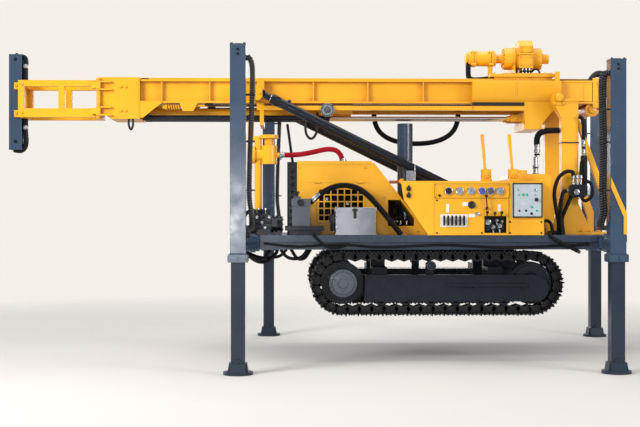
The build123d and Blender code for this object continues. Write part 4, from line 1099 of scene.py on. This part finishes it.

# Cradle: folded upper band, stop tab, black slider strips that paint the shaded gap between rail and mast, and
# slide clevises, with the lift cylinders' eyes and glands
cradle_face = 0.275
band = Piece("cradle_band", "cradle", "yellow", soft_edge=0.004)
band_out = 0.316
for side in (-1, 1):
    fold = [(cradle_face, 2.753), (band_out, 2.753), (band_out, 2.6), (cradle_face, 2.545)]
    band.bar([(side * y, z) for y, z in fold], pivot.x - 0.837, pivot.x + 0.06)
    band.slab(side, 0.0, 0.048, 0.25, 0.291, 2.74, 2.85)
    band.slab(side, -0.404, -0.392, band_out, band_out + 0.008, 2.606, 2.748)
slider_shade_strips = Piece("cradle_sliders", "cradle", "black_paint", "black_plastic", soft_edge=0.002)
# Black slide strips along the rails, their dark paint standing for the shaded gap between rail and mast.
for side in (-1, 1):
    slider_shade_strips.slab(side, -0.837, -0.31, cradle_face, cradle_face + 0.006, 2.503, 2.54)
slide_low, slide_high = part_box("slide_rods")
slide_r = (slide_high.z - slide_low.z) / 2
slide_y = slide_high.y - slide_r
slide_z = (slide_low.z + slide_high.z) / 2
clevis = Piece("slide_clevises", "cradle", "yellow", soft_edge=0.002)
for side in (-1, 1):
    end = Vector((slide_high.x, side * slide_y, slide_z))
    clevis.lathe(end + LEFT * 0.15, RIGHT, 6, (0, 0.024), (0.006, 0.03), (0.036, 0.03), (0.042, 0.026))
    for shift in (-0.027, 0.027):
        clevis.box(end + Vector((-0.112, shift - 0.008, -0.034)), end + Vector((0, shift + 0.008, 0.034)))
    clevis.rod(end + Vector((-0.055, -0.046, 0)), end + Vector((-0.055, 0.046, 0)), 0.019, 18)
eyes = Piece("lift_rod_eyes", "lift_rod", "black_paint")
lift_eye, lift_base, lift_side = at(-2.95, 0, 2.605), at(-0.76, 0, 1.53), 0.43
along = (lift_eye - lift_base).normalized()
for side in (-1, 1):
    centre = lift_eye + Vector((0, side * 0.3755, 0))
    eyes.lathe(
        centre, (0, side, 0), 32, (0, 0.041), (0.004, 0.0455), (0.08, 0.0455), (0.086, 0.04), (0.087, 0.022),
        (0.094, 0.02)
    )
    neck = lift_eye + Vector((0, side * lift_side, 0))
    eyes.rod(neck - along * 0.098, neck - along * 0.03, 0.034, 24)
cheeks = Piece("lift_cheeks", "cradle", "yellow", soft_edge=0.003)
for side in (-1, 1):
    cheek = [(-3.016, 2.535), (-2.975, 2.535), (-2.94, 2.57), (-2.94, 2.65), (-2.975, 2.69), (-3.016, 2.69)]
    cheeks.plate(from_pivot(cheek), *sorted((side * 0.482, side * 0.494)))
    cheeks.slab(side, -3.016, -3.002, 0.25, 0.494, 2.535, 2.69)
    cheeks.slab(side, -3.01, -2.99, 0.252, 0.288, 2.54, 2.685)
    cheeks.bolt(at(-2.968, side * 0.494, 2.605), (0, side, 0), 0.024)
glands = Piece("lift_glands", "lift_barrel", "black_paint")
lift_run = (lift_eye - lift_base).length
for side in (-1, 1):
    axis_at = lift_base + Vector((0, side * lift_side, 0))
    glands.lathe(
        axis_at + along * (lift_run - 0.21), along, 32, (0, 0.046), (0.004, 0.05), (0.03, 0.05),
        (0.034, 0.053), (0.1, 0.053), (0.105, 0.042)
    )
    up = along.cross(Vector((0, 1, 0))).normalized()
    up = up if up.z > 0 else -up
    for run in (0.16, lift_run - 0.28):
        port = axis_at + along * run + up * 0.042
        glands.lathe(port, up, 6, (0, 0.022), (0.014, 0.022), (0.016, 0.015), (0.026, 0.014))

# Posts: pivot caps, cable tie and foot bolts, with the near post's hose block and the supply hose
post_trim = Piece("post_trim", "base", "yellow", soft_edge=0.002)
post_bolts = Piece("post_bolts", "base", "yellow")
for side, out in SIDES:
    post_trim.lathe(
        at(0, side * 0.482, pivot.z), out, 32, (0, 0.04), (0.012, 0.04), (0.016, 0.03), (0.02, 0.028)
    )
    post_trim.slab(side, -0.055, 0.055, 0.46, 0.47, pivot.z - 0.075, pivot.z - 0.045)
    for station in (-0.04, 0.04):
        post_bolts.bolt(at(station, side * 0.47, pivot.z - 0.06), out, 0.02)
    for station in (-0.055, 0.24, 0.32, 0.41):
        for y in (0.355, 0.445):
            post_bolts.bolt(at(station, side * y, 1.237), UP, 0.026)
    post_trim.slab(side, 0.02, 0.205, 0.335, 0.465, 1.56, 1.575)
    post_trim.slab(side, 0.025, 0.2, 0.335, 0.465, 2.52, 2.536)
tie = Piece("post_cable_tie", "base", "black_paint", "black_plastic")
tie.span(0.026, 0.199, -0.466, -0.461, 2.118, 2.13)
for left, right in ((0.024, 0.03), (0.195, 0.201)):
    tie.span(left, right, -0.466, -0.335, 2.118, 2.13)
manifold = [
    (0.11, 1.58), (0.24, 1.58), (0.265, 1.61), (0.265, 1.69), (0.245, 1.706), (0.105, 1.706), (0.088, 1.68),
    (0.088, 1.61)
]
block = Piece("hose_manifold", "base", "black_paint", soft_edge=0.006)
block.plate(from_pivot(manifold), -0.556, -0.475)
block.span(0.1, 0.19, -0.476, -0.459, 1.6, 1.69)
block.lathe(at(0.24, -0.5, 1.948), UP, 8, (0, 0.03), (0.006, 0.034), (0.04, 0.034), (0.046, 0.028))
block_bright = Piece("manifold_fittings", "base", "steel")
block_bright.lathe(
    at(0.156, -0.556, 1.632), NEAR, 6, (0, 0.03), (0.006, 0.03), (0.008, 0.022), (0.02, 0.022), (0.022, 0.01)
)
for station in (0.128, 0.168, 0.206):
    block_bright.lathe(
        at(station, -0.515, 1.704), UP, 12, (0, 0.019), (0.02, 0.019), (0.024, 0.014), (0.06, 0.014),
        (0.062, 0.018), (0.094, 0.018), (0.098, 0.012)
    )
for low, high in ((1.99, 2.06), (2.08, 2.148)):
    block_bright.lathe(
        at(0.238, -0.5, low), UP, 14, (0, 0.018), (0.004, 0.021), (high - low - 0.004, 0.021),
        (high - low, 0.018)
    )
block_bright.rod(at(0.088, -0.52, 1.64), at(0.06, -0.52, 1.64), 0.016, 6)
rear_hoses = Piece("rear_hoses", "base", "hose_black")
# Each hose: radius, side, then stations and heights
for radius, y, *route in (
    (
        0.019, -0.53, (0.128, 1.795), (0.118, 1.83), (0.055, 1.832), (-0.016, 1.775), (-0.05, 1.69),
        (-0.06, 1.6), (-0.044, 1.464), (-0.02, 1.336), (-0.02, deck_top)
    ),
    (
        0.019, -0.545, (0.06, 1.64), (0.03, 1.636), (0.006, 1.56), (-0.004, 1.42), (0.0, 1.29),
        (0.01, deck_top)
    ),
    (0.019, -0.51, (0.11, 1.59), (0.09, 1.54), (0.05, 1.45), (0.02, 1.36), (0.035, deck_top)),
    (
        0.017, -0.54, (0.235, 1.69), (0.25, 1.735), (0.296, 1.72), (0.318, 1.65), (0.3, 1.58), (0.24, 1.545),
        (0.2, 1.59)
    ),
    (
        0.019, -0.5, (0.19, 2.38), (0.222, 2.36), (0.236, 2.29), (0.238, 2.1), (0.238, 1.9), (0.248, 1.79),
        (0.24, 1.7)
    ),
    (0.015, -0.5, (0.206, 1.8), (0.21, 1.86), (0.215, 1.92), (0.225, 1.955)),
    (0.017, -0.6, (-0.2, deck_top), (-0.195, 1.3), (-0.16, 1.35), (-0.11, 1.32), (-0.09, deck_top)),
):
    rear_hoses.tube(level(y, route), radius)
rear_hoses.tube(
    [
        at(-0.05, -0.56, 1.232), at(-0.14, -0.7, 1.236), at(-0.18, -0.86, 1.232), at(-0.17, -0.918, 1.19),
        at(-0.06, -0.918, 1.13), at(0.06, -0.912, 1.07), at(0.12, -0.8, 1.05)
    ],
    0.018
)
supply_y = -0.3
supply = Piece("supply_hose", "base", "hose_black")
supply_line = [
    at(-0.186, supply_y, 2.105), at(-0.186, -0.301, 2.17), at(-0.166, -0.318, 2.222),
    at(-0.11, -0.348, 2.246), at(-0.04, -0.375, 2.25), at(0.022, -0.385, 2.25)
]
supply.tube(supply_line, 0.028)
supply.spiral(supply_line, 0.029, 0.004, 0.014)
supply.hoop(at(-0.186, supply_y, 2.012), UP, 0.022, 0.009, 24)
supply.rod(at(-0.186, -0.33, 1.88), at(-0.225, -0.35, 1.886), 0.007, 8)
coupling = Piece("supply_coupling", "base", "steel")
coupling.lathe(
    at(-0.2, supply_y, 1.806), UP, 20, (0, 0.034), (0.02, 0.034), (0.024, 0.024), (0.06, 0.024),
    (0.064, 0.03), (0.1, 0.03), (0.104, 0.022), (0.185, 0.022)
)
coupling.lathe(
    at(-0.186, supply_y, 1.985), UP, 20, (0, 0.022), (0.045, 0.022), (0.048, 0.032), (0.075, 0.032),
    (0.078, 0.026), (0.105, 0.026), (0.108, 0.031), (0.128, 0.031)
)

# Left end: valve fittings, lubricator, toolbox, hoses and radiator
fittings = Piece("valve_fittings", "base", "steel")
spools = Piece("valve_spools", "base", "black_paint")
for row, height in enumerate((1.285, 1.335, 1.385)):
    for k in range(5):
        station = -3.022 + 0.038 * k + 0.008 * (row % 2)
        target = fittings if (row + k) % 3 == 0 else spools
        target.lathe(
            at(station, -0.838, height), NEAR, 10, (0, 0.016), (0.012, 0.016), (0.014, 0.011),
            (0.03 + 0.006 * (k % 3), 0.011), (0.034 + 0.006 * (k % 3), 0.006)
        )
for k in range(5):
    station = -3.015 + 0.036 * k
    for y in (-0.74, -0.66):
        target = fittings if k % 2 else spools
        target.lathe(
            at(station, y, 1.408), UP, 8, (0, 0.015), (0.016, 0.015), (0.018, 0.01), (0.04, 0.01),
            (0.042, 0.014), (0.056 + 0.008 * (k % 2), 0.012)
        )
spools.hoop(at(-2.8, -0.745, 1.315), RIGHT, 0.078, 0.01, 32)
spools.bolts_round(at(-2.742, -0.74, 1.315), RIGHT, 0.056, 6, 0.016)
spools.span(-2.846, -2.79, -0.85, -0.81, 1.29, 1.37)
front_hoses = Piece("front_hoses", "base", "hose_black")
# Each hose: radius, then stations, sides and heights
for radius, *route in (
    (
        0.017, (-3.0, -0.86, 1.29), (-3.01, -0.885, 1.25), (-3.07, -0.86, 1.235), (-3.14, -0.8, 1.2),
        (-3.135, -0.78, 1.09), (-3.03, -0.78, 0.99), (-2.93, -0.78, 0.985), (-2.86, -0.78, 1.075)
    ),
    (
        0.017, (-3.03, -0.7, 1.44), (-3.08, -0.71, 1.43), (-3.13, -0.72, 1.34), (-3.142, -0.73, 1.2),
        (-3.12, -0.73, 1.08), (-3.01, -0.73, 0.97), (-2.9, -0.73, 0.955), (-2.81, -0.73, 1.03),
        (-2.79, -0.73, 1.075)
    ),
    (
        0.015, (-3.03, -0.64, 1.44), (-3.09, -0.65, 1.42), (-3.142, -0.66, 1.32), (-3.145, -0.66, 1.16),
        (-3.1, -0.68, 1.06), (-2.95, -0.7, 0.995), (-2.78, -0.7, 1.005), (-2.7, -0.7, 1.075)
    ),
    (
        0.016, (-2.76, -0.8, 1.075), (-2.7, -0.8, 1.005), (-2.62, -0.8, 0.985), (-2.55, -0.8, 1.01),
        (-2.5, -0.8, 1.075)
    ),
    (0.016, (-2.66, -0.76, 1.075), (-2.6, -0.76, 0.99), (-2.53, -0.76, 0.99), (-2.47, -0.76, 1.075)),
    (
        0.012, (-2.92, -0.893, 1.135), (-2.6, -0.893, 1.105), (-2.2, -0.893, 1.125), (-1.8, -0.893, 1.1),
        (-1.2, -0.893, 1.12), (-0.6, -0.893, 1.095), (0.2, -0.893, 1.125)
    ),
    (
        0.014, (-2.45, -0.9, 1.225), (-2.42, -0.905, 1.19), (-2.32, -0.895, 1.105), (-2.2, -0.89, 1.1),
        (-2.1, -0.885, 1.13)
    ),
):
    front_hoses.tube([at(*point) for point in route], radius)
front_hoses.rod(at(-2.64, -0.5, 1.905), at(-2.695, -0.5, 2.3), 0.013, 12)
arch_y, red_y = -0.78, -0.56
arch = Piece("arch_hose_wrap", "base", slot_of["arch_hose"], "hose_black", replaces="arch_hose")
arch_route = [
    (-2.478, 1.52), (-2.44, 1.555), (-2.38, 1.606), (-2.27, 1.668), (-2.15, 1.69), (-2.03, 1.668),
    (-1.93, 1.605), (-1.82, 1.49), (-1.72, 1.37), (-1.64, 1.27), (-1.6, deck_top)
]
arch_line = level(arch_y, arch_route)
arch.tube(arch_line, 0.026)
arch.spiral(arch_line[2:], 0.027, 0.0035, 0.016)
red = Piece("red_hose_line", "base", slot_of["red_hose"], "hose_red", replaces="red_hose")
red_route = [
    (-2.76, 1.993), (-2.66, 1.993), (-2.56, 2.0), (-2.46, 2.018), (-2.36, 2.04), (-2.29, 2.05),
    (-2.22, 2.038), (-2.175, 1.995), (-2.15, 1.926)
]
red.tube(level(red_y, red_route), 0.025, 20)
lubricator_top = Piece("lubricator_top", "base", "slate", "hub_grey", soft_edge=0.004)
lubricator_top.span(-2.656, -2.472, -0.866, -0.694, 1.49, 1.562)
front_bright = Piece("front_fittings", "base", "steel")
front_bright.lathe(
    at(-2.48, arch_y, 1.52), (0.72, 0, 0.69), 20, (0, 0.024), (0.03, 0.024), (0.034, 0.03), (0.06, 0.03),
    (0.064, 0.027), (0.13, 0.0275)
)
front_bright.lathe(
    at(-2.772, red_y, 1.993), RIGHT, 20, (0, 0.026), (0.006, 0.029), (0.03, 0.029), (0.034, 0.026),
    (0.05, 0.0265)
)
front_bright.lathe(at(-2.15, red_y, 1.93), UP, 20, (0, 0.036), (0.012, 0.036), (0.016, 0.028), (0.03, 0.0265))
front_bright.rod(at(-1.446, -0.585, 1.715), at(-1.446, -0.585, 1.895), 0.007, 10)
front_bright.span(-1.535, -1.456, -0.64, -0.632, 1.712, 1.836)
front_bright.span(-1.535, -1.436, -0.64, -0.56, 1.712, 1.72)
side_pipe = Piece("hood_side_pipe", "base", "yellow", "brown_pipe")
side_pipe.tube([at(-1.7, -0.6, 1.728), at(-1.64, -0.6, 1.728), at(-1.59, -0.6, 1.73)], 0.016)
side_elbow = Piece("hood_side_elbow", "base", "yellow")
side_elbow.tube(
    [at(-1.6, -0.6, 1.728), at(-1.582, -0.6, 1.731), at(-1.574, -0.6, 1.742), at(-1.574, -0.6, 1.76)], 0.021
)
knobs = Piece("front_knobs", "base", "black_paint", "black_plastic")
knobs.lathe(
    at(-2.566, -0.866, 1.524), NEAR, 28, (0, 0.034), (0.008, 0.034), (0.012, 0.028), (0.022, 0.027),
    (0.026, 0.018)
)
knobs.lathe(at(-2.6, -0.78, 1.583), UP, 16, (0, 0.014), (0.03, 0.014), (0.034, 0.024), (0.05, 0.022))
knobs.span(-2.064, -2.036, -0.903, -0.889, 1.372, 1.47)
knobs.span(-2.078, -2.022, -0.899, -0.889, 1.445, 1.462)
knobs.rod(at(-1.574, -0.6, 1.755), at(-1.574, -0.6, 1.875), 0.014, 12)
knobs.lathe(at(-2.252, -0.8, 1.37), NEAR, 20, (0, 0.05), (0.05, 0.05), (0.055, 0.034), (0.08, 0.03))
knobs.rod(at(-2.252, -0.8, 1.25), at(-2.252, -0.8, 1.4), 0.03, 14)
lid = Piece("toolbox_lid", "base", "steel", "galvanised", soft_edge=0.003)
lid.span(-2.246, -1.842, -0.895, -0.655, 1.44, 1.477)
lid.span(-2.243, -1.845, -0.893, -0.657, deck_top, 1.225)
shelf = Piece("lubricator_shelf", "base", "black_paint", soft_edge=0.002)
shelf.span(-2.718, -2.347, -0.903, -0.657, 1.258, 1.302)
shelf.span(-2.678, -2.387, -0.883, -0.677, deck_top, 1.258)
fins = Piece("radiator_fins", "base", "black_paint", "dark_inside")
fin_low, fin_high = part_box("radiator")
for k in range(26):
    height = fin_low.z + 0.04 + k * (fin_high.z - fin_low.z - 0.08) / 25
    fins.box(
        (fin_low.x - 0.012, fin_low.y + 0.03, height - 0.004), (fin_low.x, fin_high.y - 0.03, height + 0.004)
    )
for y in (fin_low.y, fin_high.y - 0.03):
    fins.box((fin_low.x - 0.016, y, fin_low.z), (fin_low.x, y + 0.03, fin_high.z))
fins.box(
    (fin_low.x - 0.016, fin_low.y - 0.012, fin_high.z - 0.004),
    (fin_high.x, fin_high.y + 0.012, fin_high.z + 0.012)
)
for k in range(9):
    height = fin_low.z + 0.1 + 0.065 * k
    fins.lathe((fin_low.x + 0.03, fin_low.y, height), NEAR, 10, (0, 0.02), (0.008, 0.02), (0.012, 0.012))

# All pieces, in the order in which they were begun
for piece in Piece.begun:
    piece.done()


# Studio: a pale backdrop that only the camera sees, a pale floor that fades into it, and soft lights
studio_white, floor_white = (0.905, 0.87, 0.815, 1), (0.72, 0.69, 0.65, 1)
backdrop_radius = 45.0
backdrop_data = bpy.data.meshes.new("backdrop")
dome = bmesh.new()
bmesh.ops.create_icosphere(dome, subdivisions=4, radius=backdrop_radius)
dome.to_mesh(backdrop_data)
dome.free()
backdrop = add_object("backdrop", backdrop_data)
for ray in ("diffuse", "glossy", "transmission", "volume_scatter", "shadow"):
    setattr(backdrop, f"visible_{ray}", False)
glow = Finish("studio backdrop")
glow.set(Base_Color=(0, 0, 0, 1), Specular_IOR_Level=0.0, Emission_Color=studio_white, Emission_Strength=1.0)
backdrop_data.materials.append(glow.material)

floor_size, floor_fade_start, floor_fade_end = 40.0, 3.6, 9.0
floor_data = bpy.data.meshes.new("floor")
corner = floor_size / 2
floor_data.from_pydata(
    [
        (-corner, -corner, 0), (corner, -corner, 0), (corner, corner, 0), (-corner, corner, 0)
    ], [], [(0, 1, 2, 3)]
)
floor = add_object("floor", floor_data)
floor_finish = Finish("studio floor")
floor_finish.set(Base_Color=floor_white, Roughness=0.7, Specular_IOR_Level=0.15)
reach = floor_finish.add("ShaderNodeVectorMath", {"operation": "LENGTH"})
floor_finish.feed(reach.inputs[0], floor_finish.place)
fade = floor_finish.spread(reach.outputs["Value"], floor_fade_start, floor_fade_end)
clear = floor_finish.add("ShaderNodeBsdfTransparent")
joined = floor_finish.add("ShaderNodeMixShader")
floor_finish.feed(joined.inputs[0], fade)
floor_finish.feed(joined.inputs[1], floor_finish.surface.outputs[0])
floor_finish.feed(joined.inputs[2], clear.outputs[0])
floor_finish.feed(floor_finish.tree.nodes["Material Output"].inputs[0], joined.outputs[0])
floor_data.materials.append(floor_finish.material)

world = bpy.data.worlds.new("studio")
world.use_nodes = True
sky_colour, sky_strength = (0.93, 0.95, 1.0, 1), 0.42
sky = world.node_tree.nodes["Background"]
sky.inputs[0].default_value, sky.inputs[1].default_value = sky_colour, sky_strength
bpy.context.scene.world = world
bpy.context.scene.view_settings.view_transform = "Standard"
# Each light: name, place, what it faces, size, power
lights = [
    ("key", (-8.0, -8.5, 5.4), (0.0, 0.0, 1.7), 4.0, 1250.0),
    ("fill", (8.5, -7.5, 4.0), (1.0, 0.0, 1.7), 3.5, 420.0),
    ("top", (0.0, 0.0, 7.5), (0.0, 0.0, 1.0), 6.5, 300.0),
    ("back", (2.0, 9.0, 3.8), (0.0, 0.0, 1.8), 4.0, 190.0),
    ("leg card", (-1.5, -14.2, 1.35), (-1.1, 0.0, 1.35), 0.9, 75.0),
]
for name, place, target, size, power in lights:
    light_data = bpy.data.lights.new(name, "AREA")
    light_data.size, light_data.energy = size, power
    light = add_object(name, light_data)
    light.location = place
    light.rotation_euler = (Vector(target) - Vector(place)).to_track_quat("-Z", "Y").to_euler()
    # The key light's mirror image would wash out the tops, seen from behind
    light.visible_glossy = name != "key"
